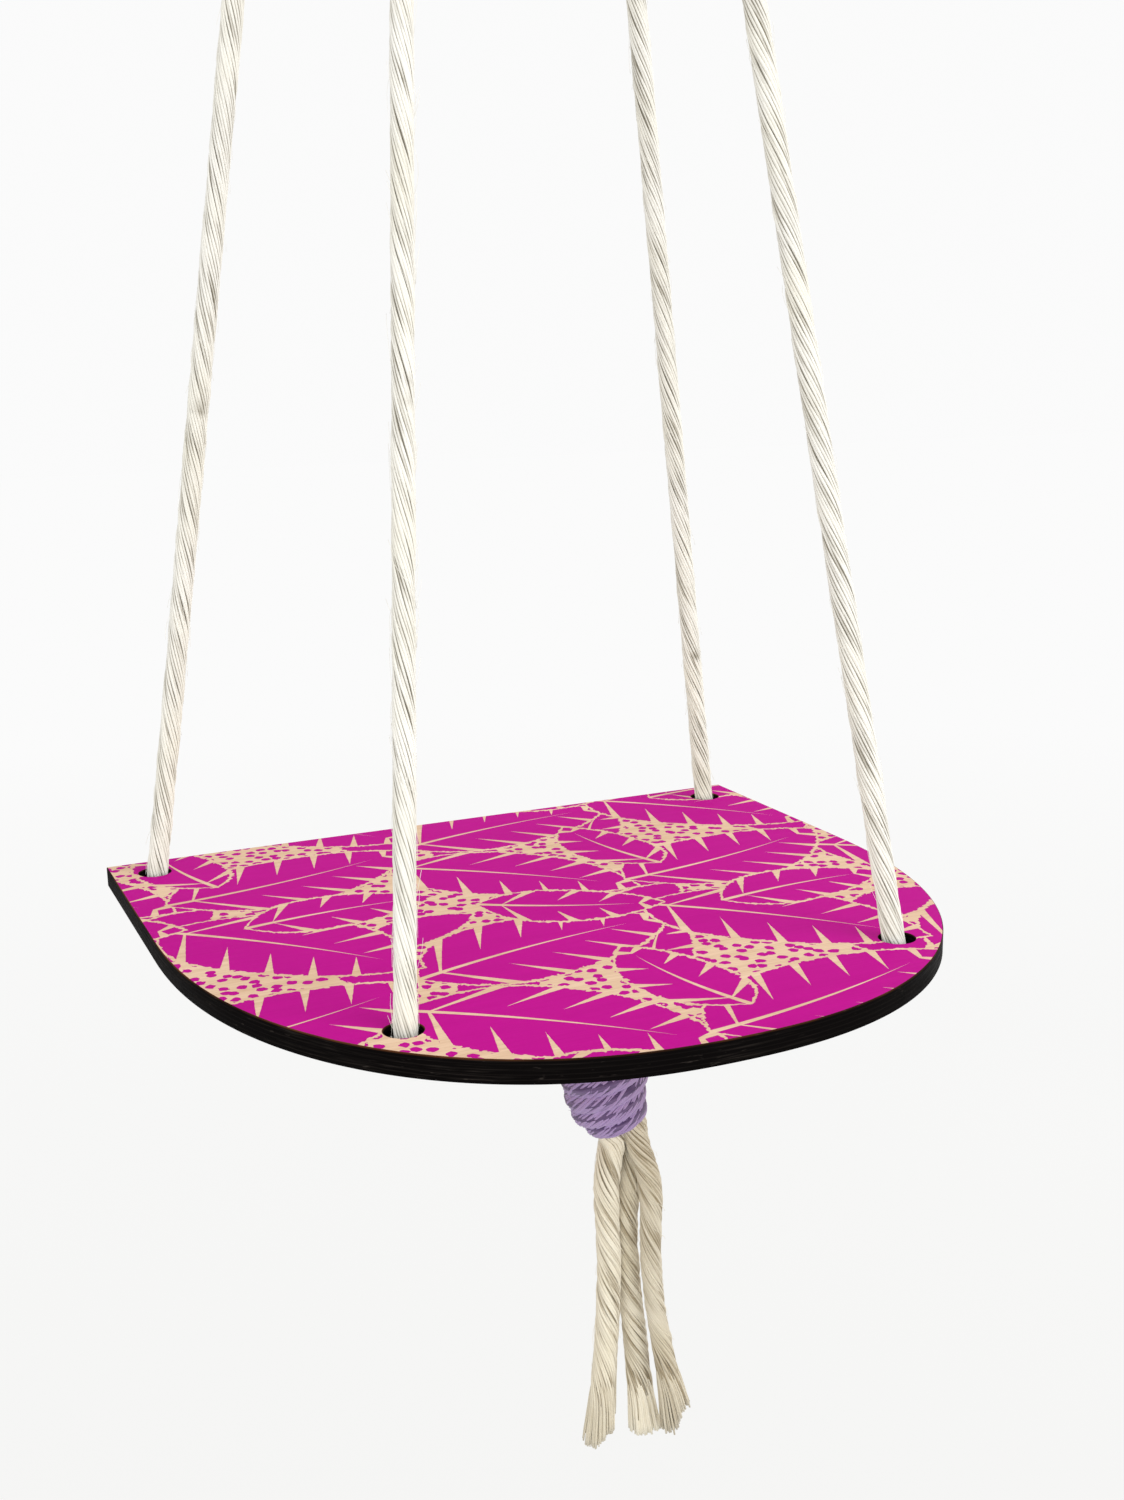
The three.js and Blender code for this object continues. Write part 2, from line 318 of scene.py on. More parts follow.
class PrintTile:
    """Sizes of the printed pattern's repeat in millimetres, and its leaves from the lowest to the top one."""

    across = 132.0
    deep = 116.0
    turn = 17.0
    shift = (31.0, 12.0, 0.0)
    rim = 1.2
    rib = 1.0
    rib_end = 0.7
    fullness = 1.45
    lopsided = 0.22
    cut = 0.11
    cut_slope = 0.6
    cut_gap = 13.0
    cut_reach = 1.5
    ragged = 2.6
    ragged_fineness = 0.75
    berry_gap = 4.2
    berry_radius = 1.35
    berry_scatter = 0.75
    # Middle across, middle deep, angle in degrees, length, width, bend, and 1 where its rib and cuts show
    leaves = (
        (20, 40, 100, 40, 20, 0.2, 0),
        (66, 4, 10, 40, 20, -0.2, 0),
        (66, 96, 60, 40, 20, 0.25, 0),
        (122, 62, 95, 40, 20, 0.2, 0),
        (2, 84, 40, 36, 18, 0.2, 0),
        (63, 62, 75, 40, 20, 0.2, 1),
        (30, 12, -24, 78, 40, 0.14, 1),
        (97, 24, 32, 80, 42, -0.14, 1),
        (34, 66, 28, 78, 42, 0.14, 1),
        (98, 76, -30, 80, 42, 0.14, 1),
        (44, 100, -8, 52, 26, -0.16, 1),
        (112, 104, 20, 54, 26, 0.16, 1),
        (64, 40, 118, 50, 24, 0.2, 1),
    )


@dataclass(frozen=True)
class Finish:
    """A finish whose material has one Principled shader."""

    name: str

    def surface(self, graph: Graph, effects: Effects) -> dict[str, Feed]:
        """Says what feeds the shader's inputs. Each kind of finish has its own."""
        raise NotImplementedError

    def material(self, effects: Effects) -> bpy.types.Material:
        """Builds the material.

        Args:
            effects: The shared node groups.

        Returns:
            The material.
        """
        material = bpy.data.materials.new(self.name)
        graph = cleared(material)
        shader = graph.add("BsdfPrincipled", self.surface(graph, effects))
        graph.add("OutputMaterial", {"Surface": shader.outputs["BSDF"]})
        return material


@dataclass(frozen=True)
class YarnFinish(Finish):
    """Cotton yarns: soft and matt, with painted shade between one yarn and the next."""

    lit: Colour
    worn: Colour
    # The colour of the painted shade between yarns
    crease_shade: Colour
    crease_depth: float = 0.85
    sharpness: float = 1.35
    sheen: float = 0.25

    def surface(self, graph: Graph, effects: Effects) -> dict[str, Feed]:
        """Lays the spun fibres over patches of the lit and the worn colour, and mixes in the crease colour as
        painted shade between yarns.

        Args:
            graph: The material's graph.
            effects: The shared node groups.

        Returns:
            What feeds the shader's inputs.
        """
        inputs = {"Place": graph.attribute("yarn_place", "Vector"), "Crease shade": graph.attribute("crease_shade"),
                  "Tone": graph.attribute("tone"), "Depth": self.crease_depth, "Sharpness": self.sharpness}
        fibre = graph.add("Group", inputs, node_tree=effects.fibre).outputs
        patches = graph.noise(graph.place(), (46.0, 46.0, 46.0))
        base = graph.mix(graph.fit(patches, 0.35, 0.7), self.lit, self.worn)
        return {
            "Base Color": graph.mix(fibre["Shade"], base, self.crease_shade),
            "Roughness": graph.fit(fibre["Height"], 0.2, 0.8, 0.82, 0.98),
            "Normal": graph.bump(fibre["Height"], 0.0001, 0.5),
            "Sheen Weight": self.sheen,
            "Sheen Roughness": 0.6,
            "Specular IOR Level": 0.18,
        }


@dataclass(frozen=True)
class BirchFinish(Finish):
    """Plain sanded birch."""

    pale: Colour = srgb(240, 210, 176)
    dark: Colour = srgb(222, 184, 146)
    pore: Colour = srgb(176, 134, 98)
    gloss: float = 0.55

    def wood(self, graph: Graph, effects: Effects) -> tuple[Socket, Socket]:
        """Adds the bare wood to a graph.

        Args:
            graph: The material's graph.
            effects: The shared node groups.

        Returns:
            The wood's colour and the tone of its grain.
        """
        grain = graph.add("Group", {"Place": graph.place()}, node_tree=effects.grain).outputs
        colour = graph.mix(grain["Tone"], self.pale, self.dark)
        pores = graph.calc("MULTIPLY", grain["Pores"], 0.22)
        return graph.mix(pores, colour, self.pore), grain["Tone"]

    def surface(self, graph: Graph, effects: Effects) -> dict[str, Feed]:
        """Lets the grain colour, roughen and lift the wood.

        Args:
            graph: The material's graph.
            effects: The shared node groups.

        Returns:
            What feeds the shader's inputs.
        """
        colour, tone = self.wood(graph, effects)
        return {
            "Base Color": colour,
            "Roughness": graph.fit(tone, 0, 1, self.gloss - 0.06, self.gloss + 0.08),
            "Normal": graph.bump(tone, 0.00004, 0.5),
        }


@dataclass(frozen=True)
class PrintFinish(BirchFinish):
    """Leaves printed in magenta on birch, with bare wood between them."""

    pale: Colour = srgb(243, 215, 188)
    dark: Colour = srgb(210, 173, 140)
    ink: Colour = srgb(194, 13, 146)
    ink_dark: Colour = srgb(184, 9, 137)
    # What the ink throws back on the ropes is paler, as they show no pink
    bounce: Colour = srgb(206, 198, 188)

    def inked(self, graph: Graph, effects: Effects) -> Socket:
        """Adds the mask of what is printed: dots, and the leaves stamped over them one by one.

        Args:
            graph: The material's graph.
            effects: The shared node groups.

        Returns:
            1 where there is ink and 0 on bare wood.
        """
        tile = PrintTile
        inputs = {"Vector": graph.place(), "Location": tile.shift, "Scale": (1000.0, 1000.0, 1000.0),
                  "Rotation": (0.0, 0.0, math.radians(tile.turn))}
        place = graph.add("Mapping", inputs, vector_type="POINT").outputs[0]
        split = graph.add("SeparateXYZ", {0: place}).outputs
        rough = graph.noise(place, (tile.ragged_fineness,) * 3, 1.0)
        wobble = graph.calc("MULTIPLY", graph.calc("SUBTRACT", rough, 0.5), tile.ragged)
        inputs = {"Vector": place, "Scale": 1 / tile.berry_gap, "Randomness": tile.berry_scatter}
        berries = graph.add("TexVoronoi", inputs, voronoi_dimensions="2D").outputs["Distance"]
        distance = graph.calc("MULTIPLY", berries, tile.berry_gap)
        distance = graph.calc("MULTIPLY_ADD", wobble, 0.5, distance)
        ink = graph.calc("LESS_THAN", distance, tile.berry_radius)
        for x, y, angle, length, width, bend, carved in tile.leaves:
            inputs = {
                "Across": split[0], "Deep": split[1], "Wobble": wobble, "Ink": ink, "Middle across": x,
                "Middle deep": y, "Angle": math.radians(angle), "Half length": length / 2,
                "Half width": width / 2, "Bend": bend, "Carved": carved,
            }
            ink = graph.add("Group", inputs, node_tree=effects.leaf).outputs["Ink"]
        return ink

    def surface(self, graph: Graph, effects: Effects) -> dict[str, Feed]:
        """Lays the ink over the bare wood.

        Args:
            graph: The material's graph.
            effects: The shared node groups.

        Returns:
            What feeds the shader's inputs.
        """
        bare, tone = self.wood(graph, effects)
        ink = self.inked(graph, effects)
        coat = graph.mix(tone, self.ink, self.ink_dark)
        bounced = graph.calc("MULTIPLY", graph.add("LightPath").outputs["Is Diffuse Ray"], 0.92)
        relief = graph.calc("MULTIPLY_ADD", ink, 0.5, graph.calc("MULTIPLY", tone, 0.5))
        return {
            "Base Color": graph.mix(ink, bare, graph.mix(bounced, coat, self.bounce)),
            "Roughness": graph.fit(ink, 0, 1, 0.68, 0.6),
            "Normal": graph.bump(relief, 0.00004, 0.45),
            "Specular IOR Level": 0.02,
        }


@dataclass(frozen=True)
class CharFinish(Finish):
    """The plywood's edge where a laser cut it: black plies with faint streaks along them."""

    soot: Colour = srgb(10, 8, 8)
    ash: Colour = srgb(66, 60, 56)
    scorch: Colour = srgb(104, 62, 36)
    scorched: float = 0.0005
    plies: int = 5

    def surface(self, graph: Graph, effects: Effects) -> dict[str, Feed]:
        """Streaks the plies and browns their upper rim.

        Args:
            graph: The material's graph.
            effects: The shared node groups.

        Returns:
            What feeds the shader's inputs.
        """
        place = graph.place()
        height = graph.add("SeparateXYZ", {0: place}).outputs[2]
        depth = graph.calc("SUBTRACT", float(BOARD_PLACE[2]), height)
        ply = graph.calc("PINGPONG", graph.calc("DIVIDE", depth, BOARD_THICKNESS / self.plies), 0.5)
        seam = graph.fit(ply, 0.0, 0.16, 1.0, 0.0)
        streak = graph.noise(place, (70.0, 70.0, 2300.0), 3.0, 0.6)
        patch = graph.noise(place, (40.0, 40.0, 40.0))
        scuff = graph.noise(place, (210.0, 210.0, 1500.0), 2.0, 0.7)
        pale = graph.calc("MULTIPLY", graph.fit(streak, 0.52, 0.78), graph.fit(patch, 0.38, 0.68, 0.05, 0.7))
        pale = graph.calc("MULTIPLY_ADD", graph.calc("MULTIPLY", seam, streak), 0.16, pale, clamp=True)
        pale = graph.calc("MULTIPLY_ADD", graph.fit(scuff, 0.66, 0.76), 0.6, pale, clamp=True)
        browned = graph.fit(patch, 0.4, 0.6, 0.25, 1.0)
        rim = graph.calc("MULTIPLY", graph.fit(depth, 0.0, self.scorched, 1.0, 0.0), browned)
        relief = graph.calc("SUBTRACT", streak, graph.calc("MULTIPLY", seam, 0.5))
        return {
            "Base Color": graph.mix(rim, graph.mix(pale, self.soot, self.ash), self.scorch),
            "Roughness": graph.fit(streak, 0.3, 0.7, 0.5, 0.75),
            "Normal": graph.bump(relief, 0.00012, 0.8),
            "Specular IOR Level": 0.01,
        }


@dataclass(frozen=True)
class Finishes:
    """Every finish of the shelf."""

    # The third colour of each yarn finish is its painted shade between yarns
    rope: Finish = YarnFinish(
        "cotton_rope", srgb(250, 248, 242), srgb(246, 243, 232), srgb(150, 143, 126), sharpness=2.1,
    )
    # The same cotton, painted darker and creamier on the loose ends as painted shade under the board
    tail: Finish = YarnFinish(
        "cotton_rope_ends_shaded", srgb(243, 236, 218), srgb(232, 223, 200), srgb(158, 143, 115),
    )
    lilac: Finish = YarnFinish("lilac_cord", srgb(178, 153, 199), srgb(162, 136, 186), srgb(80, 59, 101))
    ring: Finish = BirchFinish("ring_birch")
    underside: Finish = BirchFinish("bare_birch", gloss=0.66)
    printed: Finish = PrintFinish("printed_birch")
    charred: Finish = CharFinish("charred_edge")


def linked(name: str, data: bpy.types.ID) -> bpy.types.Object:
    """Makes an object at the origin and adds it to the scene.

    Args:
        name: The object's name.
        data: Its mesh, curve, camera or light.

    Returns:
        The object.
    """
    made = bpy.data.objects.new(name, data)
    bpy.context.scene.collection.objects.link(made)
    return made


def as_piece(mesh: bmesh.types.BMesh, name: str, smooth: bool = True) -> bpy.types.Object:
    """Turns a bmesh into an object at the origin.

    Args:
        mesh: The bmesh, which is freed.
        name: The piece's name.
        smooth: Whether all its faces are shaded smooth.

    Returns:
        The object.
    """
    if smooth:
        for face in mesh.faces:
            face.smooth = True
    data = bpy.data.meshes.new(name)
    mesh.to_mesh(data)
    mesh.free()
    return linked(name, data)


def dress(piece: bpy.types.Object, *materials: bpy.types.Material) -> None:
    """Puts materials on a piece, in order."""
    for material in materials:
        piece.data.materials.append(material)


def report(piece: bpy.types.Object) -> None:
    """Logs a finished piece."""
    log.info("%s: %d faces", piece.name, len(piece.data.polygons))


def spun(mesh: bmesh.types.BMesh, centre: Point, axis: Point, steps: int) -> None:
    """Spins all that a bmesh holds about an axis, into one closed form.

    Args:
        mesh: The bmesh, which holds a profile.
        centre: A point on the axis.
        axis: The axis.
        steps: How many steps one turn has.
    """
    profile = [*mesh.verts, *mesh.edges]
    bmesh.ops.spin(mesh, geom=profile, cent=centre, axis=axis, angle=math.tau, steps=steps, use_merge=True)
    bmesh.ops.remove_doubles(mesh, verts=mesh.verts[:], dist=SPUN_JOIN)
    bmesh.ops.recalc_face_normals(mesh, faces=mesh.faces[:])


def give(mesh: bpy.types.Mesh, name: str, values: np.ndarray) -> None:
    """Gives a mesh an attribute: a number for each corner, or a vector where values has three columns."""
    kind, field = ("FLOAT_VECTOR", "vector") if values.ndim == 2 else ("FLOAT", "value")
    mesh.attributes.new(name, kind, "POINT").data.foreach_set(field, values.ravel())


def corner_places(mesh: bpy.types.Mesh) -> np.ndarray:
    """Reads where a mesh's corners are.

    Args:
        mesh: The mesh.

    Returns:
        A row for each corner.
    """
    places = np.empty(len(mesh.vertices) * 3)
    mesh.vertices.foreach_get("co", places)
    return places.reshape(-1, 3)


@dataclass
class Press:
    """How a wound cord is flattened: thinner along a way at each of its points, and wider across it."""

    way: np.ndarray
    pressed: float
    widened: float

    def flatten(self, aside: np.ndarray) -> np.ndarray:
        """Flattens steps away from the cord's middle, whose last axis is x, y and z."""
        lift = np.sum(aside * self.way, axis=-1, keepdims=True)
        return aside * self.widened + self.way * lift * (self.pressed - self.widened)

    def undo(self, aside: np.ndarray) -> np.ndarray:
        """Makes flattened steps round again."""
        lift = np.sum(aside * self.way, axis=-1, keepdims=True) / self.pressed
        return (aside - self.way * lift * (self.pressed - self.widened)) / self.widened

    def cut(self, index: np.ndarray) -> "Press":
        """Returns the same for some of the points."""
        return Press(self.way[index], self.pressed, self.widened)


@dataclass
class Strand:
    """One yarn or fibre, as a line that has a thickness along it, and what its finish reads.

    A yarn has its rope's middle and outside beside each of its points, and its colour has painted shade,
    darker further in.
    """

    line: np.ndarray
    radii: np.ndarray
    along: np.ndarray
    tone: np.ndarray | float = 0.0
    seed: float = 0.0
    # A fixed share of painted shade, for strands that have no rope's middle
    crease_shade: float = 0.0
    middle: np.ndarray | None = None
    outer: np.ndarray | None = None
    press: Press | None = None

    def crease_shades(self, ring: np.ndarray, crease_depth: float) -> np.ndarray:
        """Says how much painted shade each corner has, by how deep in a crease it lies.

        Args:
            ring: The corners, in a ring round each point of the line.
            crease_depth: How far under the rope's outside a yarn is at its darkest painted shade.

        Returns:
            0 on the rope's outside and 1 where the painted shade is darkest.
        """
        if self.middle is None:
            return np.full(len(self.line) * STRAND_SIDES, self.crease_shade)
        aside = (ring - self.middle[:, None, :]).transpose(1, 0, 2)
        if self.press is not None:
            aside = self.press.undo(aside)
        return ((self.outer[:, None] - np.linalg.norm(aside, axis=2).T) / crease_depth).ravel()


def with_caps(values: Sequence[np.ndarray]) -> np.ndarray:
    """Puts the values of the strands' end caps before those of the strands, as a swept curve's corners are.

    Args:
        values: The values at the corners of each strand.

    Returns:
        The values at all corners.
    """
    caps = []
    for strand in reversed(values):
        caps += [strand[-STRAND_SIDES:], strand[:STRAND_SIDES]]
    return np.concatenate([*caps, *values])


def merge_doubles(data: bpy.types.Mesh) -> None:
    """Joins corners of a mesh that lie in one place.

    Args:
        data: The mesh.
    """
    mesh = bmesh.new()
    mesh.from_mesh(data)
    bmesh.ops.remove_doubles(mesh, verts=mesh.verts[:], dist=SWEPT_JOIN)
    mesh.to_mesh(data)
    mesh.free()


def swept_mesh(name: str, strands: Sequence[Strand]) -> bpy.types.Mesh:
    """Sweeps a round section along strands.

    Args:
        name: The mesh's name.
        strands: The strands.

    Returns:
        The mesh. Its first corners are the end caps of the strands, and then a ring for each point.
    """
    curve = bpy.data.curves.new(name, "CURVE")
    curve.dimensions = "3D"
    curve.bevel_depth = 1.0
    curve.bevel_resolution = STRAND_SIDES // 2 - 2
    curve.use_fill_caps = True
    for strand in strands:
        points = curve.splines.new("POLY").points
        points.add(len(strand.line) - 1)
        points.foreach_set("co", np.column_stack([strand.line, np.ones(len(strand.line))]).ravel())
        points.foreach_set("radius", strand.radii)
    swept = linked(f"{name}_sweep", curve)
    graph = bpy.context.evaluated_depsgraph_get()
    mesh = bpy.data.meshes.new_from_object(swept.evaluated_get(graph))
    bpy.data.objects.remove(swept)
    mesh.name = name
    return mesh


def sweep(name: str, strands: Sequence[Strand], crease_depth: float) -> bpy.types.Object:
    """Makes one mesh of many strands, with the attributes that the yarn finishes read.

    Args:
        name: The piece's name.
        strands: The strands.
        crease_depth: How far under the rope's outside a yarn is at its darkest.

    Returns:
        The mesh object.
    """
    mesh = swept_mesh(name, strands)
    corners = corner_places(mesh)
    values = {"crease_shade": [], "tone": [], "yarn_place": []}
    first = 2 * STRAND_SIDES * len(strands)
    for strand in strands:
        count = len(strand.line)
        last = first + count * STRAND_SIDES
        ring = corners[first:last].reshape(count, STRAND_SIDES, 3)
        first = last
        around = np.tile(np.sin(np.arange(STRAND_SIDES) * math.tau / STRAND_SIDES), count)
        around *= np.repeat(strand.radii, STRAND_SIDES) * 2
        seeds = np.full(len(around), strand.seed)
        # The crease share is painted shade between yarns; the tone holds each yarn's random tone, the specks
        # and the tails' painted shade
        values["crease_shade"].append(strand.crease_shades(ring, crease_depth))
        values["tone"].append(np.repeat(np.broadcast_to(strand.tone, count), STRAND_SIDES))
        values["yarn_place"].append(np.column_stack([around, np.repeat(strand.along, STRAND_SIDES), seeds]))
    if first != len(corners):
        raise RuntimeError(f"{name}: {len(corners)} corners, and {first} were expected")
    for label, rows in values.items():
        give(mesh, label, with_caps(rows))
    merge_doubles(mesh)
    return linked(name, mesh)


def arc_lengths(line: np.ndarray) -> np.ndarray:
    """Returns how far along a line each of its points is, in metres."""
    return np.concatenate([[0], np.cumsum(np.linalg.norm(np.diff(line, axis=0), axis=1))])


def evenly(line: np.ndarray, count: int) -> np.ndarray:
    """Spaces points evenly along a line.

    Args:
        line: The line's points.
        count: How many points are wanted.

    Returns:
        The new points.
    """
    gone = arc_lengths(line)
    even = np.linspace(0, gone[-1], count)
    return np.column_stack([np.interp(even, gone, axis) for axis in line.T])


def smooth_route(points: np.ndarray, step: float) -> np.ndarray:
    """Runs a centripetal Catmull-Rom curve through points and spaces it evenly.

    Args:
        points: The route's points.
        step: About how far apart the new points are.

    Returns:
        The evenly spaced points.
    """
    ends = np.vstack([2 * points[0] - points[1], points, 2 * points[-1] - points[-2]])
    share = np.linspace(0, 1, 16, endpoint=False)[:, None]
    dense = []
    for p0, p1, p2, p3 in zip(ends, ends[1:], ends[2:], ends[3:]):
        steps = (p1 - p0, p2 - p1, p3 - p2)
        d0, d1, d2 = (max(float(np.linalg.norm(step)) ** 0.5, 1e-5) for step in steps)
        t1 = ((p1 - p0) / d0 - (p2 - p0) / (d0 + d1) + (p2 - p1) / d1) * d1
        t2 = ((p2 - p1) / d1 - (p3 - p1) / (d1 + d2) + (p3 - p2) / d2) * d1
        bend = -3 * p1 + 3 * p2 - 2 * t1 - t2
        twist = 2 * p1 - 2 * p2 + t1 + t2
        dense.append(p1 + share * t1 + share**2 * bend + share**3 * twist)
    dense = np.vstack([*dense, points[-1:]])
    return evenly(dense, max(int(round(arc_lengths(dense)[-1] / step)), 2) + 1)


def eased(share: float) -> float:
    """Turns a share of 0 to 1 into one that starts and stops gently."""
    return share * share * (3 - 2 * share)


def drift(rng: np.random.Generator, along: np.ndarray, count: int, shortest: float,
          longest: float) -> np.ndarray:
    """Makes smooth uneven waves, one for each of several yarns.

    Args:
        rng: The seeded generator.
        along: The places along the rope.
        count: How many waves are made.
        shortest: The shortest wavelength in them.
        longest: The longest one.

    Returns:
        One row of values of about -1 to 1 for each yarn.
    """
    waves = np.zeros((count, len(along)))
    for _ in range(5):
        length = rng.uniform(shortest, longest, (count, 1))
        start = rng.uniform(0, math.tau, (count, 1))
        waves += np.sin(along[None, :] * math.tau / length + start)
    return np.clip(waves / 2.2, -1.6, 1.6)


@dataclass(frozen=True)
class Lay:
    """How a rope or cord is made: its yarns and their twist, and how flat it is pressed where it is wound."""

    radius: float
    yarns: int
    yarn_radius: float
    pitch: float
    sink: float
    wander: float
    uneven: float = 0.13
    # How far under the outside a yarn gets its darkest painted shade
    crease_depth: float = 0.00062
    strays_per_metre: float = 0.0
    pressed: float = 1.0
    widened: float = 1.0


@dataclass(frozen=True)
class Fleck:
    """A grey speck of husk that is spun into a rope."""

    place: Point
    size: float
    darkness: float


class LaidRope:
    """The yarns of one rope along its route. Pieces of it share their yarns where they meet."""

    core_share = 0.93
    yarn_tones = (-0.06, 0.10)
    stray_spans = (3, 8)
    stray_lifts = (0.0002, 0.0013)
    stray_radii = (0.00003, 0.000055)

    def __init__(self, line: np.ndarray, lay: Lay, seed: int, twist: np.ndarray | float = 1.0,
                 girth: np.ndarray | float = 1.0, outwards: np.ndarray | None = None,
                 flecks: Sequence[Fleck] = ()) -> None:
        """Works out where every yarn runs.

        Args:
            line: The rope's evenly spaced middle line.
            lay: How the rope is made.
            seed: The seed of its unevenness.
            twist: How much of the full twist there is at each point.
            girth: How thick the rope is at each point, as a share.
            outwards: Which way it is pressed flat at each point, or nothing.
            flecks: The specks in it.
        """
        self.line = line
        self.lay = lay
        self.flecks = flecks
        self.press = None if outwards is None else Press(outwards, lay.pressed, lay.widened)
        self.rng = np.random.default_rng(seed)
        self.along = arc_lengths(line)
        self.girth = np.ones(len(line)) * girth
        step = np.diff(self.along, prepend=0.0)
        self.turn = -math.tau * np.cumsum(step * twist) / lay.pitch
        self.tangent, self.normal, self.binormal = self._frames()
        count = lay.yarns
        lanes = np.arange(count)[:, None] + lay.wander * drift(self.rng, self.along, count, 0.02, 0.07)
        self.angle = lanes * math.tau / count + self.turn[None, :]
        self.yarn_radii = lay.yarn_radius * (1 + lay.uneven * drift(self.rng, self.along, count, 0.012, 0.04))
        sunk = lay.sink * drift(self.rng, self.along, count, 0.02, 0.06)
        self.yarn_depth = (lay.radius - lay.yarn_radius + sunk) * self.girth[None, :]

    def _frames(self) -> tuple[np.ndarray, np.ndarray, np.ndarray]:
        """Finds directions at each point.

        Returns:
            One along the line and two across it that don't twist round it.
        """
        tangent = np.gradient(self.line, axis=0)
        tangent /= np.linalg.norm(tangent, axis=1)[:, None]
        across = np.cross(tangent[0], (0.0, 1.0, 0.0))
        normal = np.empty_like(tangent)
        for k, way in enumerate(tangent):
            across = across - way * float(across @ way)
            across /= np.linalg.norm(across)
            normal[k] = across
        return tangent, normal, np.cross(tangent, normal)

    def at(self, index: np.ndarray, angle: np.ndarray, reach: np.ndarray) -> np.ndarray:
        """Finds points round the rope.

        Args:
            index: Which points of the line they are beside.
            angle: Their angle round it.
            reach: Their distance from it.

        Returns:
            The points.
        """
        aside = np.cos(angle)[:, None] * self.normal[index] + np.sin(angle)[:, None] * self.binormal[index]
        if self.press is not None:
            aside = self.press.cut(index).flatten(aside)
        return self.line[index] + aside * reach[:, None]

    def core(self, first: int, last: int) -> Strand:
        """Makes the inside of the rope that shows between its yarns, coloured in its darkest painted shade.

        Args:
            first: The first point of the line.
            last: The last one.

        Returns:
            The strand.
        """
        cut = slice(first, last + 1)
        radii = (self.lay.radius - self.lay.yarn_radius) * self.core_share * self.girth[cut]
        # Painted shade: the inside gets the full crease colour
        return Strand(self.line[cut], radii, self.along[cut], crease_shade=1.0)

    def yarns(self, first: int, last: int) -> list[Strand]:
        """Makes the yarns of a stretch of the rope.

        Args:
            first: The first point of the line.
            last: The last one.

        Returns:
            A strand for each yarn.
        """
        index = np.arange(first, last + 1)
        outer = self.lay.radius * self.girth[index]
        press = None if self.press is None else self.press.cut(index)
        made = []
        for k in range(self.lay.yarns):
            line = self.at(index, self.angle[k, index], self.yarn_depth[k, index])
            tone = np.full(len(index), np.random.default_rng(1000 + k).uniform(*self.yarn_tones))
            for fleck in self.flecks:
                away = np.linalg.norm(line - fleck.place, axis=1) / fleck.size
                tone += fleck.darkness * np.exp(-away * away)
            made.append(Strand(line, self.yarn_radii[k, index] * self.girth[index], self.along[index], tone,
                               float(k) * 1.7, middle=self.line[index], outer=outer, press=press))
        return made

    def strays(self, first: int, last: int) -> list[Strand]:
        """Makes loose fibres that stand off the rope a little.

        Args:
            first: The first point of the line.
            last: The last one.

        Returns:
            A strand for each fibre.
        """
        rng = self.rng
        length = self.along[last] - self.along[first]
        made = []
        for _ in range(int(length * self.lay.strays_per_metre)):
            span = int(rng.integers(*self.stray_spans))
            start = int(rng.integers(first, max(last - span, first + 1)))
            index = np.arange(start, min(start + span, last) + 1)
            share = np.linspace(0, 1, len(index))
            angle = rng.uniform(0, math.tau) + rng.uniform(-0.9, 0.9) * share
            angle = angle + self.turn[index] - self.turn[start]
            reach = self.lay.radius * 0.97 + rng.uniform(*self.stray_lifts) * share**1.5
            radii = np.full(len(index), rng.uniform(*self.stray_radii))
            made.append(Strand(self.at(index, angle, reach), radii, self.along[index]))
        return made

    def piece(self, name: str, first: int = 0, last: int | None = None) -> bpy.types.Object:
        """Makes one piece of the rope, or all of it.

        Args:
            name: The piece's name.
            first: The first point of the line.
            last: The last one, or nothing for the end.

        Returns:
            The mesh object.
        """
        last = len(self.line) - 1 if last is None else last
        strands = [self.core(first, last), *self.yarns(first, last), *self.strays(first, last)]
        return sweep(name, strands, self.lay.crease_depth)


def board_route(points: Sequence[Point], mirrored: bool = False) -> np.ndarray:
    """Moves a route from the board's place into the frame.

    Args:
        points: The route's points, from the middle of the board's top back edge.
        mirrored: Whether left and right change places.

    Returns:
        The points in the frame.
    """
    route = np.array(points, float)
    if mirrored:
        route[:, 0] *= -1
    return route + BOARD_PLACE


def beyond(last: np.ndarray, before: np.ndarray, length: float) -> np.ndarray:
    """Returns the point that lies so much further on than the last two of a route."""
    return last + (last - before) / np.linalg.norm(last - before) * length


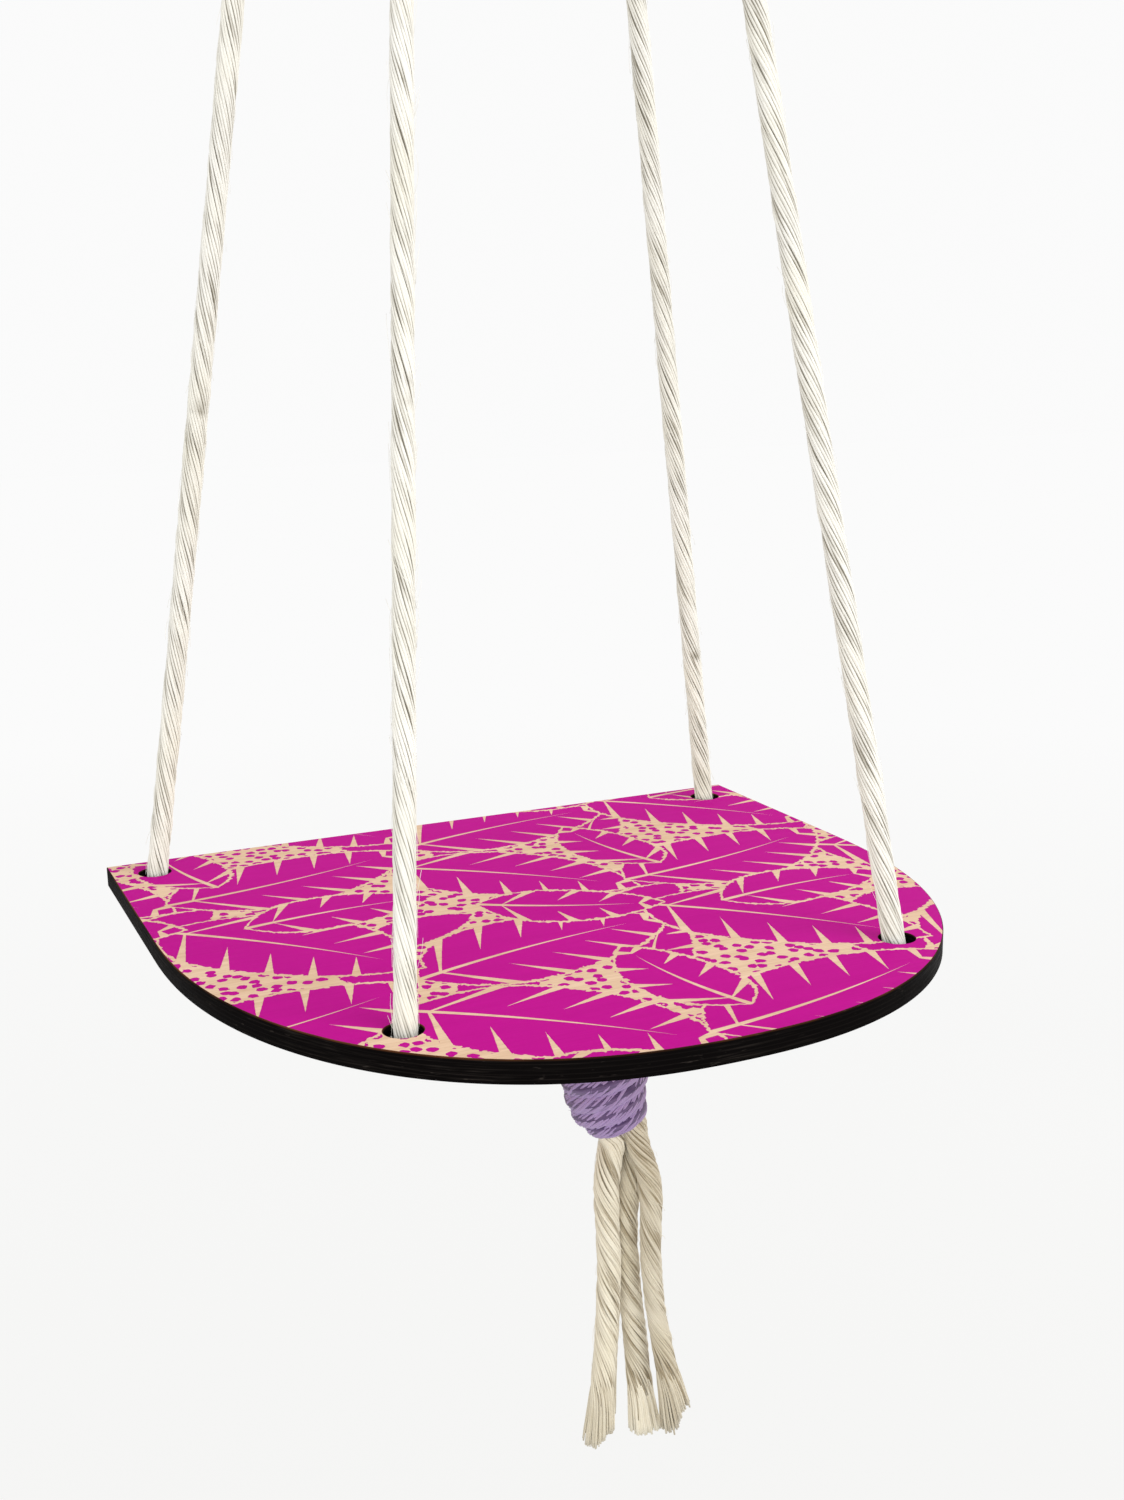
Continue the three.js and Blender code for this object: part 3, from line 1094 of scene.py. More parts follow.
@dataclass
class RopePair:
    """The two long ropes: each runs from the knot up through the board, over the ring and down again."""

    finish: bpy.types.Material
    lay: Lay = Lay(radius=0.00302, yarns=20, yarn_radius=0.00045, pitch=0.05, sink=0.00008, wander=0.13,
                   crease_depth=0.00024, strays_per_metre=330)
    step: float = 0.0022
    ring_low: float = -0.052
    bundle_offset: float = 0.00315
    bight_radius: float = 0.0096
    bight_spread: float = 0.019
    bight_low: float = -0.08
    flex_start: float = -0.0878
    seam_height: float = -0.0928
    into_knot: float = 0.006
    uneven: float = 0.018
    # The front left leg is a little thinner, up to this far from its lower end
    slimmer: float = 0.1
    slim_length: float = 0.66

    flecks = {
        Side.LEFT: (
            Fleck((-0.0748, 0.0393, -0.5247), 0.0013, 1.0), Fleck((-0.0762, 0.0394, -0.5242), 0.0015, 0.4),
            Fleck((-0.0529, -0.0758, -0.518), 0.0012, 0.5), Fleck((-0.0533, -0.0764, -0.5219), 0.0017, 0.3),
        ),
        Side.RIGHT: (Fleck((0.0871, 0.047, -0.6104), 0.0014, 0.9),),
    }
    seeds = {Side.LEFT: 11, Side.RIGHT: 12}

    # The left legs: the right ones are their mirror images
    legs = {
        End.FRONT: (
            (-0.0032, -0.0706, 0.572), (-0.0032, -0.0706, 0.569), (-0.0038, -0.0716, 0.564),
            (-0.0053, -0.0735, 0.555), (-0.0103, -0.0791, 0.52), (-0.02, -0.0907, 0.45),
            (-0.0294, -0.1023, 0.38), (-0.0378, -0.1138, 0.31), (-0.0437, -0.1236, 0.25),
            (-0.0484, -0.1315, 0.2), (-0.0549, -0.1425, 0.13), (-0.0615, -0.1536, 0.06),
            (-0.0671, -0.1631, 0.0002),
        ),
        End.BACK: (
            (-0.0032, -0.0642, 0.572), (-0.0032, -0.0642, 0.569), (-0.0041, -0.0638, 0.564),
            (-0.0059, -0.0629, 0.555), (-0.0128, -0.0596, 0.52), (-0.0262, -0.0532, 0.45),
            (-0.039, -0.0468, 0.38), (-0.0508, -0.0406, 0.31), (-0.0596, -0.0352, 0.25),
            (-0.0666, -0.0307, 0.2), (-0.0763, -0.0245, 0.13), (-0.086, -0.0183, 0.06),
            (-0.0944, -0.0129, 0.0002),
        ),
    }
    # The start of each run, down through its hole and round under the board, mirrored in the same way
    turns = {
        End.FRONT: (
            (-0.0671, -0.1631, -0.0002), (-0.0673, -0.1635, -0.0024), (-0.0674, -0.1636, -0.0048),
            (-0.0669, -0.1634, -0.0072), (-0.0651, -0.1625, -0.0093), (-0.062, -0.161, -0.0108),
            (-0.0575, -0.1588, -0.0114),
        ),
        End.BACK: (
            (-0.0944, -0.0129, -0.0002), (-0.0947, -0.0127, -0.0024), (-0.0949, -0.0125, -0.0048),
            (-0.0945, -0.013, -0.0072), (-0.0932, -0.0147, -0.0093), (-0.0911, -0.0173, -0.0108),
            (-0.088, -0.0212, -0.0114),
        ),
    }
    # The rest of each run to the knot, where no two are alike
    runs = {
        (End.FRONT, Side.LEFT): (
            (-0.046, -0.153, -0.012), (-0.032, -0.146, -0.0131), (-0.02, -0.1396, -0.0144),
            (-0.0122, -0.1342, -0.0166), (-0.0084, -0.1315, -0.0202), (-0.0071, -0.1306, -0.0248),
            (-0.0065, -0.1303, -0.0282),
        ),
        (End.FRONT, Side.RIGHT): (
            (0.044, -0.152, -0.012), (0.029, -0.145, -0.0128), (0.0145, -0.139, -0.0136),
            (0.005, -0.1353, -0.0154), (0.0002, -0.1335, -0.0189), (-0.0014, -0.1329, -0.0232),
            (-0.001, -0.1329, -0.0267),
        ),
        (End.BACK, Side.LEFT): (
            (-0.07, -0.0442, -0.0124), (-0.05, -0.069, -0.0136), (-0.03, -0.0936, -0.0144),
            (-0.0135, -0.113, -0.0156), (-0.0076, -0.1206, -0.0176), (-0.005, -0.124, -0.0224),
            (-0.0042, -0.1247, -0.0276),
        ),
        (End.BACK, Side.RIGHT): (
            (0.069, -0.0442, -0.0122), (0.048, -0.07, -0.013), (0.0275, -0.0955, -0.0134),
            (0.0108, -0.1163, -0.0142), (0.004, -0.1243, -0.0166), (0.0016, -0.1269, -0.0214),
            (0.0017, -0.1271, -0.0267),
        ),
    }

    def over_ring(self, x: float) -> np.ndarray:
        """Makes the route of a rope over the lower part of the ring, from its front to its back.

        Args:
            x: How far to the side it lies.

        Returns:
            The route's points.
        """
        side = [(self.bundle_offset, self.bight_low)]
        for share in np.arange(6) / 6:
            across = self.bundle_offset + (self.bight_radius - self.bundle_offset) * eased(share)
            side.append((across, self.ring_low - self.bight_spread + share * self.bight_spread))
        arc = [(math.cos(a), math.sin(a)) for a in np.linspace(0, math.pi, 13)]
        over = [(self.bight_radius * y, self.ring_low + self.bight_radius * z) for y, z in arc]
        back = [(-y, z) for y, z in reversed(side)]
        return np.array([(x, -y, z) for y, z in (*side, *over, *back)])

    def half(self, end: End, side: Side) -> np.ndarray:
        """Makes the route of half a rope, from inside the knot up to the ring's whipping.

        Args:
            end: Which end of the rope it is.
            side: Which side it is on.

        Returns:
            The route's points.
        """
        leg = board_route(self.legs[end], side is Side.RIGHT)
        turn = board_route(self.turns[end], side is Side.RIGHT)
        run = board_route(self.runs[(end, side)])
        inside = beyond(run[-1], run[-2], self.into_knot)
        return np.vstack([leg[:-1], (leg[-1] + turn[0]) / 2, turn[1:], run, inside])[::-1]

    def rope(self, side: Side) -> LaidRope:
        """Lays one whole rope.

        Args:
            side: Which side it is on.

        Returns:
            The rope.
        """
        x = self.bundle_offset * (-1 if side is Side.LEFT else 1)
        route = np.vstack([self.half(End.FRONT, side), self.over_ring(x), self.half(End.BACK, side)[::-1]])
        line = smooth_route(route, self.step)
        seed = self.seeds[side]
        along = arc_lengths(line)
        girth = 1 + self.uneven * drift(np.random.default_rng(seed), along, 1, 0.015, 0.06)[0]
        if side is Side.LEFT:
            girth -= self.slimmer * np.clip((self.slim_length - along) / 0.1, 0, 1)
        return LaidRope(line, self.lay, seed, girth=girth, flecks=self.flecks[side])

    def build(self, side: Side) -> None:
        """Builds one rope as three pieces: two legs with their runs, and the bight between them.

        Args:
            side: Which side it is on.
        """
        rope = self.rope(side)
        above = np.nonzero(rope.line[:, 2] > self.seam_height)[0]
        first = int(above[0])
        last = int(above[-1])
        stretches = {End.FRONT: (0, first), End.BACK: (last, len(rope.line) - 1)}
        for end, (start, stop) in stretches.items():
            place = f"{end.value}_{side.value}"
            piece = rope.piece(f"rope_{place}", start, stop)
            dress(piece, self.finish)
            path = rope.line[start : stop + 1]
            if end is End.FRONT:
                path = path[::-1]
            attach(piece, "shelf")
            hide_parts(f"rope_leg_{place}", f"rope_run_{place}")
            report(piece)
        bight = rope.piece(f"rope_over_ring_{side.value}", first, last)
        dress(bight, self.finish)
        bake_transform(bight)
        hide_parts(f"rope_bight_{side.value}")
        report(bight)


@dataclass(frozen=True)
class Fall:
    """One loose end's route and looks: shares of painted shade and of girth, and lengths for how its fringe
    lies.
    """

    route: Sequence[Point]
    # Painted shade added to the yarns' tone
    shade: float
    girth: float
    spread: float
    # Painted shade of the fringe, and painted light where it is below 0
    fringe_shade: float = 0.1
    # Painted light towards the cut end, and painted shade where it is below 0
    painted_end_light: float = 0.12
    fan_left: float = 0.0
    fan_right: float = 0.0
    slant: float = 0.0
    cut_back: float = 0.0


@dataclass
class RopeTail:
    """A loose end of rope under the knot: twisted near it, and frayed at its cut end."""

    place: str
    fall: Fall
    seed: int
    finish: bpy.types.Material
    lay: Lay = Lay(radius=0.0031, yarns=26, yarn_radius=0.00041, pitch=0.034, sink=0.00012, wander=0.18,
                   uneven=0.15, crease_depth=0.00026, strays_per_metre=500)
    step: float = 0.0018
    into_knot: float = 0.006
    flexing: float = 0.013
    squeezed_at: float = 0.014
    squeezed: float = 0.016
    loosened: float = 0.034
    untwisted: float = 0.02
    straight: float = 0.009
    ripple: float = 0.009
    fringe: float = 0.019
    fringe_root: float = 0.006
    fringe_fibres: int = 230
    fringe_radius: float = 0.0028
    widest: float = 0.0045
    heart_radius: float = 0.0019

    def build(self) -> None:
        """Builds the tail and its frayed end."""
        fall = self.fall
        route = board_route(fall.route)
        route = np.vstack([beyond(route[0], route[1], self.into_knot), route])
        line = smooth_route(route, self.step)
        along = arc_lengths(line)
        left = along[-1] - along
        loose = np.clip(1 - left / self.loosened, 0, 1)
        straight = np.clip(1 - (left - self.straight) / self.untwisted, 0, 1)
        girth = fall.girth + 0.03 * np.sin(along / self.ripple + self.seed) + fall.spread * loose**1.6
        girth = girth + 0.12 * np.exp(-(((along - self.squeezed_at) / self.squeezed) ** 4))
        rope = LaidRope(line, self.lay, self.seed, twist=1 - 0.96 * straight, girth=girth)
        root = int(np.argmax(left < self.fringe + self.fringe_root))
        strands = [rope.core(0, root), self.fringe_heart(rope, left)]
        strands += self.yarn_ends(rope, left)
        strands += self.fibres(rope, left, np.arange(root, len(line)))
        strands += rope.strays(0, int((len(line) - 1) * 0.8))
        piece = sweep(f"rope_end_{self.place}", strands, self.lay.crease_depth)
        dress(piece, self.finish)
        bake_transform(piece)
        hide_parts(f"rope_tail_{self.place}")
        report(piece)

    def yarn_ends(self, rope: LaidRope, left: np.ndarray) -> list[Strand]:
        """Makes the yarns, each of which thins out and stops in the fringe.

        Args:
            rope: The rope.
            left: How far each point of its line is from the cut end.

        Returns:
            The yarns.
        """
        made = []
        for yarn in rope.yarns(0, len(rope.line) - 1):
            stop = self.fringe * (0.35 + 0.55 * rope.rng.uniform(0, 1))
            keep = left >= stop
            thin = np.clip((left - stop + 0.002) / 0.012, 0.25, 1) ** 0.8
            # Painted light and shade: paler or darker towards the cut end, with the tail's painted shade
            # added
            end_light_share = self.fall.painted_end_light * np.clip(1.6 - left / self.fringe, 0, 1)
            tone = yarn.tone + self.fall.shade - end_light_share
            made.append(Strand(yarn.line[keep], (yarn.radii * thin)[keep], yarn.along[keep], tone[keep],
                               yarn.seed, middle=yarn.middle[keep], outer=yarn.outer[keep]))
        return made

    def fringe_heart(self, rope: LaidRope, left: np.ndarray) -> Strand:
        """Makes the pale inside of the fringe, painted light so that no gap between its fibres looks dark.

        Args:
            rope: The rope.
            left: How far each point of its line is from the cut end.

        Returns:
            The strand.
        """
        keep = (left < self.fringe + 0.008) & (left > self.fall.cut_back + self.fall.slant + 0.004)
        # Its colour is a fixed share of painted shade plus the fringe's painted shade
        return Strand(rope.line[keep], self.heart_radius * rope.girth[keep], rope.along[keep],
                      self.fall.fringe_shade, crease_shade=0.22)

    def fibres(self, rope: LaidRope, left: np.ndarray, index: np.ndarray) -> list[Strand]:
        """Makes the fringe of loose fibres at the cut end.

        Args:
            rope: The rope.
            left: How far each point of its line is from the cut end.
            index: Which points of the line the fringe has.

        Returns:
            The fibres.
        """
        rng = rope.rng
        fall = self.fall
        share = np.linspace(0, 1, len(index))
        emerging = 0.8 + 0.2 * np.clip(3 * share, 0, 1)
        made = []
        for k in range(self.fringe_fibres):
            inner = math.sqrt(rng.uniform(0, 1)) * self.fringe_radius
            sway = 0.0001 * share * np.sin(share * rng.uniform(2, 5) + rng.uniform(0, math.tau))
            reach = np.clip(inner * emerging * (rope.girth[index] + 0.1 * share) + sway, 0.0, self.widest)
            angle = rng.uniform(0, math.tau) + rope.turn[index] - rope.turn[-1]
            line = rope.at(index, angle, reach)
            aside = float((line[-1] - rope.line[-1]) @ ACROSS_TAILS) / self.fringe_radius
            fan = fall.fan_left if aside < 0 else fall.fan_right
            line = line + ACROSS_TAILS * (fan * aside * share**2)[:, None]
            slanted = fall.slant * min(max((aside + 0.2) / 0.8, 0.0), 1.0)
            short = fall.cut_back + rng.exponential(0.0006) + slanted
            kept = int(np.sum(left[index] >= short))
            line = line[:kept]
            line[-1] += rope.tangent[index[kept - 1]] * (left[index[kept - 1]] - short)
            thick = rng.uniform(0.00022, 0.0004) * (1 - 0.3 * share[:kept])
            # Painted shade: fibres further in are darker, and the fringe's painted shade is added to their
            # tone
            deep = 0.10 * (1 - inner / self.fringe_radius) + rng.uniform(-0.08, 0.12)
            lock = 0.06 * math.sin(5 * float(angle[-1]) + self.seed)
            tone = rng.uniform(-0.12, 0.02) + lock + fall.fringe_shade
            made.append(Strand(line, thick, rope.along[index][:kept], tone, float(k),
                               float(np.clip(deep, 0, 1))))
        return made


TAILS = {
    "front_left": Fall(
        (
            (-0.001, -0.1331, -0.0542), (-0.0007, -0.1332, -0.0555), (-0.0015, -0.1333, -0.06),
            (-0.0026, -0.1334, -0.068), (-0.0027, -0.1336, -0.078), (-0.0023, -0.1337, -0.09),
            (-0.0027, -0.1336, -0.102), (-0.0034, -0.1334, -0.114), (-0.0044, -0.1331, -0.126),
            (-0.005, -0.1329, -0.137), (-0.0054, -0.1327, -0.1462),
        ),
        0.02, 1.04, 0.26, fringe_shade=0.26, fan_left=0.0009, slant=0.0036,
    ),
    "back_left": Fall(
        (
            (0.0016, -0.1274, -0.0542), (0.0019, -0.1275, -0.0555), (0.0018, -0.127, -0.06),
            (0.0014, -0.1256, -0.068), (0.0016, -0.1247, -0.078), (0.0022, -0.1244, -0.09),
            (0.0024, -0.1242, -0.102), (0.0021, -0.1239, -0.114), (0.0013, -0.1234, -0.126),
            (0.0006, -0.123, -0.138), (0.0003, -0.1228, -0.145),
        ),
        0.10, 1.0, 0.2,
    ),
    "front_right": Fall(
        (
            (0.0046, -0.1356, -0.0527), (0.0049, -0.1357, -0.0539), (0.0059, -0.1363, -0.058),
            (0.0075, -0.1372, -0.064), (0.0085, -0.1379, -0.072), (0.0083, -0.138, -0.082),
            (0.0084, -0.138, -0.093), (0.0093, -0.1384, -0.105), (0.0109, -0.1391, -0.117),
            (0.0128, -0.14, -0.129), (0.015, -0.141, -0.1425),
        ),
        0.38, 0.92, 0.35, fringe_shade=0.48, painted_end_light=-0.3, fan_left=0.0013, fan_right=0.0015, slant=0.006,
    ),
    "back_right": Fall(
        (
            (0.0072, -0.1299, -0.0527), (0.0075, -0.13, -0.0539), (0.0077, -0.1301, -0.058),
            (0.0069, -0.1302, -0.064), (0.0053, -0.1304, -0.072), (0.0043, -0.1308, -0.082),
            (0.0045, -0.1311, -0.093), (0.0052, -0.1315, -0.105), (0.0061, -0.1319, -0.117),
            (0.0071, -0.1324, -0.13), (0.008, -0.1328, -0.1485),
        ),
        0.19, 1.06, 0.3, fringe_shade=-0.15, fan_right=0.0014, cut_back=0.0024,
    ),
}


@dataclass
class Knot:
    """The lilac cord wound round the four ropes under the board, and the gathered ropes inside it."""

    finish: bpy.types.Material
    lay: Lay = Lay(radius=0.00262, yarns=17, yarn_radius=0.00047, pitch=0.026, sink=0.00016, wander=0.3,
                   uneven=0.16, crease_depth=0.0007, strays_per_metre=300, pressed=0.66, widened=1.2)
    step: float = 0.0011
    place: Point = (0.0003, -0.1301, -0.041)
    turned: float = -24.0
    tilted: float = -14.0
    pitch: float = 0.0046
    turns: float = 3.7
    core_top: float = 0.01
    core_tip: float = 0.011
    bottom: float = 0.0095
    wrap_top: float = 0.0094
    middle_reach: float = 0.00955
    flare: float = 0.19
    widest_reach: float = 0.0109
    cord_in: float = 0.0019
    leaned: float = 0.0017
    lean_top: float = 0.006
    lean_length: float = 0.0086
    bowl_turn: float = 290.0
    bowl_drop: float = 0.003
    bowl_reach: float = 0.0044
    tuck_turn: float = 80.0
    tuck_drop: float = 0.003
    tuck_reach: float = 0.0065

    def matrix(self) -> Matrix:
        """Places the knot.

        Returns:
            Its place and tilt in the frame.
        """
        move = Matrix.Translation(Vector(self.place) + Vector(BOARD_PLACE))
        turn = Matrix.Rotation(math.radians(self.turned), 4, "Z")
        return move @ turn @ Matrix.Rotation(math.radians(self.tilted), 4, "Y")

    def reach(self, height: float) -> float:
        """Returns how far out the wound cord's middle lies at a height over the knot's middle."""
        return min(self.middle_reach + self.flare * height, self.widest_reach)

    def lean(self, height: float) -> float:
        """Returns how far to the left the knot's lower part hangs at a height over its middle."""
        return -self.leaned * eased(min(max((self.lean_top - height) / self.lean_length, 0.0), 1.0))

    def wrap_line(self) -> np.ndarray:
        """Makes the wound cord's route: a bowl at the bottom, the turns, and an end that is tucked in.

        Returns:
            The evenly spaced points in the frame.
        """
        low = self.wrap_top - self.pitch * self.turns
        whole = 360 * self.turns
        matrix = self.matrix()
        points = []
        for degrees in np.arange(-self.bowl_turn, whole + self.tuck_turn + 1, 15):
            height = low + self.pitch * degrees / 360
            reach = self.reach(height)
            if degrees < 0:
                share = -degrees / self.bowl_turn
                height = low - self.bowl_drop * share
                reach = reach - (reach - self.bowl_reach) * share**1.25
            if degrees > whole:
                share = (degrees - whole) / self.tuck_turn
                height = self.wrap_top + self.pitch * (1 - share) * (degrees - whole) / 360
                height = height - self.tuck_drop * share**2
                reach = reach - self.tuck_reach * share**1.6
            angle = math.radians(degrees)
            point = (reach * math.cos(angle) + self.lean(height), reach * math.sin(angle), height)
            points.append(tuple(matrix @ Vector(point)))
        return smooth_route(np.array(points), self.step)

    def build_core(self) -> None:
        """Builds the gathered ropes inside as one turned form, which shows only between the turns and is
        coloured dark as painted shade.
        """
        mesh = bmesh.new()
        heights = [float(height) for height in np.linspace(-self.bottom, self.core_top, 14)]
        profile = [(self.reach(height) - self.cord_in, 0, height) for height in heights]
        chain = [mesh.verts.new(place) for place in ((0, 0, -self.bottom), *profile, (0, 0, self.core_tip))]
        for pair in zip(chain, chain[1:]):
            mesh.edges.new(pair)
        spun(mesh, (0, 0, 0), (0, 0, 1), 48)
        for vert in mesh.verts:
            vert.co.x += self.lean(vert.co.z)
        bmesh.ops.transform(mesh, matrix=self.matrix(), verts=mesh.verts[:])
        piece = as_piece(mesh, "gathered_ropes")
        corners = corner_places(piece.data)
        # Painted shade: the form is coloured mostly with the cord's crease colour
        give(piece.data, "crease_shade", np.full(len(corners), 0.8))
        give(piece.data, "tone", np.zeros(len(corners)))
        give(piece.data, "yarn_place", corners)
        dress(piece, self.finish)
        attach(piece, "shelf")
        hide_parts("knot_core")
        report(piece)

    def build_wrap(self) -> None:
        """Builds the wound cord."""
        line = self.wrap_line()
        axis = np.array(self.matrix().to_3x3().col[2])
        away = line - np.array(self.matrix().translation)
        away -= axis * (away @ axis)[:, None]
        away /= np.linalg.norm(away, axis=1)[:, None]
        piece = LaidRope(line, self.lay, 31, outwards=away).piece("lilac_knot")
        dress(piece, self.finish)
        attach(piece, "shelf")
        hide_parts("knot_wrap")
        report(piece)


@dataclass
class TopWhipping:
    """The lilac cord wound round the four ropes under the ring, with its ends tucked between them."""

    finish: bpy.types.Material
    lay: Lay = Lay(radius=0.00155, yarns=12, yarn_radius=0.0004, pitch=0.017, sink=0.00007, wander=0.2,
                   uneven=0.14, crease_depth=0.00045, strays_per_metre=260)
    step: float = 0.0011
    bottom: float = -0.0875
    pitch: float = 0.0035
    turns: int = 4
    reach: float = 0.009255
    groove: float = 0.0064
    easing: float = 0.0002
    tucked: float = 0.003

    def line(self) -> np.ndarray:
        """Makes the cord's route: up out of the groove in front, round and round, and down behind.

        Returns:
            The evenly spaced points.
        """
        top = self.bottom + self.pitch * self.turns
        points = [
            (self.groove, -90, self.bottom + 2 * self.tucked),
            (self.groove, -90, self.bottom + self.tucked),
            (self.groove + 4 * self.easing, -84, self.bottom),
            (self.reach - self.easing, -50, self.bottom - self.easing),
        ]
        for degrees in range(-30, 360 * self.turns + 31, 15):
            points.append((self.reach, degrees, self.bottom + self.pitch * degrees / 360))
        points += [
            (self.reach - self.easing, 50, top + 2 * self.easing),
            (self.groove + 4 * self.easing, 84, top),
            (self.groove, 90, top - self.tucked),
            (self.groove, 90, top - 2 * self.tucked),
        ]
        placed = [(r * math.cos(math.radians(a)), r * math.sin(math.radians(a)), h) for r, a, h in points]
        return smooth_route(np.array(placed), self.step)

    def build(self) -> None:
        """Builds the whipping."""
        piece = LaidRope(self.line(), self.lay, 41).piece("lilac_whipping")
        dress(piece, self.finish)
        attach(piece, "hanger")
        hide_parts("top_whipping")
        report(piece)


@dataclass
class HangingRing:
    """The turned birch ring that the ropes hang on."""

    finish: bpy.types.Material
    middle_radius: float = 0.029
    thickness: float = 0.012
    centre: Point = (0.0, 0.0, -0.023)
    segments: int = 96
    sides: int = 32

    def build(self) -> None:
        """Builds the ring by spinning its round section about the ring's axis."""
        mesh = bmesh.new()
        place = Matrix.Translation(Vector(self.centre) + Vector((self.middle_radius, 0, 0)))
        bmesh.ops.create_circle(mesh, segments=self.sides, radius=self.thickness / 2, matrix=place)
        spun(mesh, self.centre, (0, 1, 0), self.segments)
        piece = as_piece(mesh, "birch_ring")
        dress(piece, self.finish)
        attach(piece, "ring")
        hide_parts("hanging_ring")
        report(piece)


@dataclass
class ShelfBoard:
    """The D-shaped plywood board: printed top, charred edge and holes, bare underside."""

    printed: bpy.types.Material
    charred: bpy.types.Material
    underside: bpy.types.Material
    width: float = 0.215
    straight_side: float = 0.074
    nose_depth: float = 0.128
    nose_power: float = 2.26
    hole_diameter: float = 0.0095
    hole_sides: int = 48
    rim: float = 0.00022
    outline_step: float = 0.0018
    holes: tuple[tuple[float, float], ...] = (
        (-0.0678, -0.1638), (0.0678, -0.1638), (-0.0951, -0.0123), (0.0951, -0.0123),
    )

    def outline(self) -> np.ndarray:
        """Makes the D's outline, counter-clockwise from its back left corner.

        Returns:
            The outline's points.
        """
        angle = np.linspace(0, math.pi, 4001)
        power = 2 / self.nose_power
        corner = self.width / 2
        across = -corner * np.sign(np.cos(angle)) * np.abs(np.cos(angle)) ** power
        deep = -self.straight_side - self.nose_depth * np.abs(np.sin(angle)) ** power
        path = np.vstack([[(-corner, 0)], np.column_stack([across, deep]), [(corner, 0)]])
        return evenly(path, int(arc_lengths(path)[-1] / self.outline_step))

    def build(self) -> None:
        """Builds the board as one closed solid with softened rims."""
        mesh = bmesh.new()
        ring = [mesh.verts.new((x, y, 0)) for x, y in self.outline()]
        for pair in zip(ring, [*ring[1:], ring[0]]):
            mesh.edges.new(pair)
        for x, y in self.holes:
            place = Matrix.Translation((x, y, 0))
            radius = self.hole_diameter / 2
            bmesh.ops.create_circle(mesh, segments=self.hole_sides, radius=radius, matrix=place)
        bmesh.ops.triangle_fill(mesh, use_beauty=True, edges=mesh.edges[:])
        bmesh.ops.recalc_face_normals(mesh, faces=mesh.faces[:])
        lower = bmesh.ops.extrude_face_region(mesh, geom=mesh.faces[:], use_keep_orig=True)
        moved = [item for item in lower["geom"] if isinstance(item, bmesh.types.BMVert)]
        bmesh.ops.translate(mesh, vec=(0, 0, -BOARD_THICKNESS), verts=moved)
        bmesh.ops.recalc_face_normals(mesh, faces=mesh.faces[:])
        rims = [e for e in mesh.edges if len(e.link_faces) == 2 and e.calc_face_angle(0) > 1.0]
        bmesh.ops.bevel(
            mesh, geom=rims, offset=self.rim, offset_type="OFFSET", segments=2, profile=0.5, affect="EDGES",
            clamp_overlap=True, material=-1,
        )
        bmesh.ops.transform(mesh, matrix=Matrix.Translation(BOARD_PLACE), verts=mesh.verts[:])
        mesh.normal_update()
        for face in mesh.faces:
            flat = abs(face.normal.z) > 0.99
            face.smooth = not flat
            face.material_index = 1
            if flat:
                face.material_index = 0 if face.normal.z > 0 else 2
        piece = as_piece(mesh, "plywood_board", smooth=False)
        dress(piece, self.printed, self.charred, self.underside)
        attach(piece, "shelf")
        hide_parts("shelf_board")
        report(piece)


@dataclass(frozen=True)
class Lamp:
    """A soft square lamp that faces the shelf: its place, width, power in watts and colour."""

    name: str
    place: Point
    size: float
    power: float
    tint: Point

    def build(self, target: Point) -> None:
        """Adds the lamp.

        Args:
            target: What it is turned to.
        """
        data = bpy.data.lights.new(self.name, "AREA")
        data.size = self.size
        data.energy = self.power
        data.color = self.tint
        lamp = linked(self.name, data)
        lamp.location = self.place
        lamp.visible_camera = False
        towards = Vector(target) - Vector(self.place)
        lamp.rotation_euler = towards.to_track_quat("-Z", "Y").to_euler()


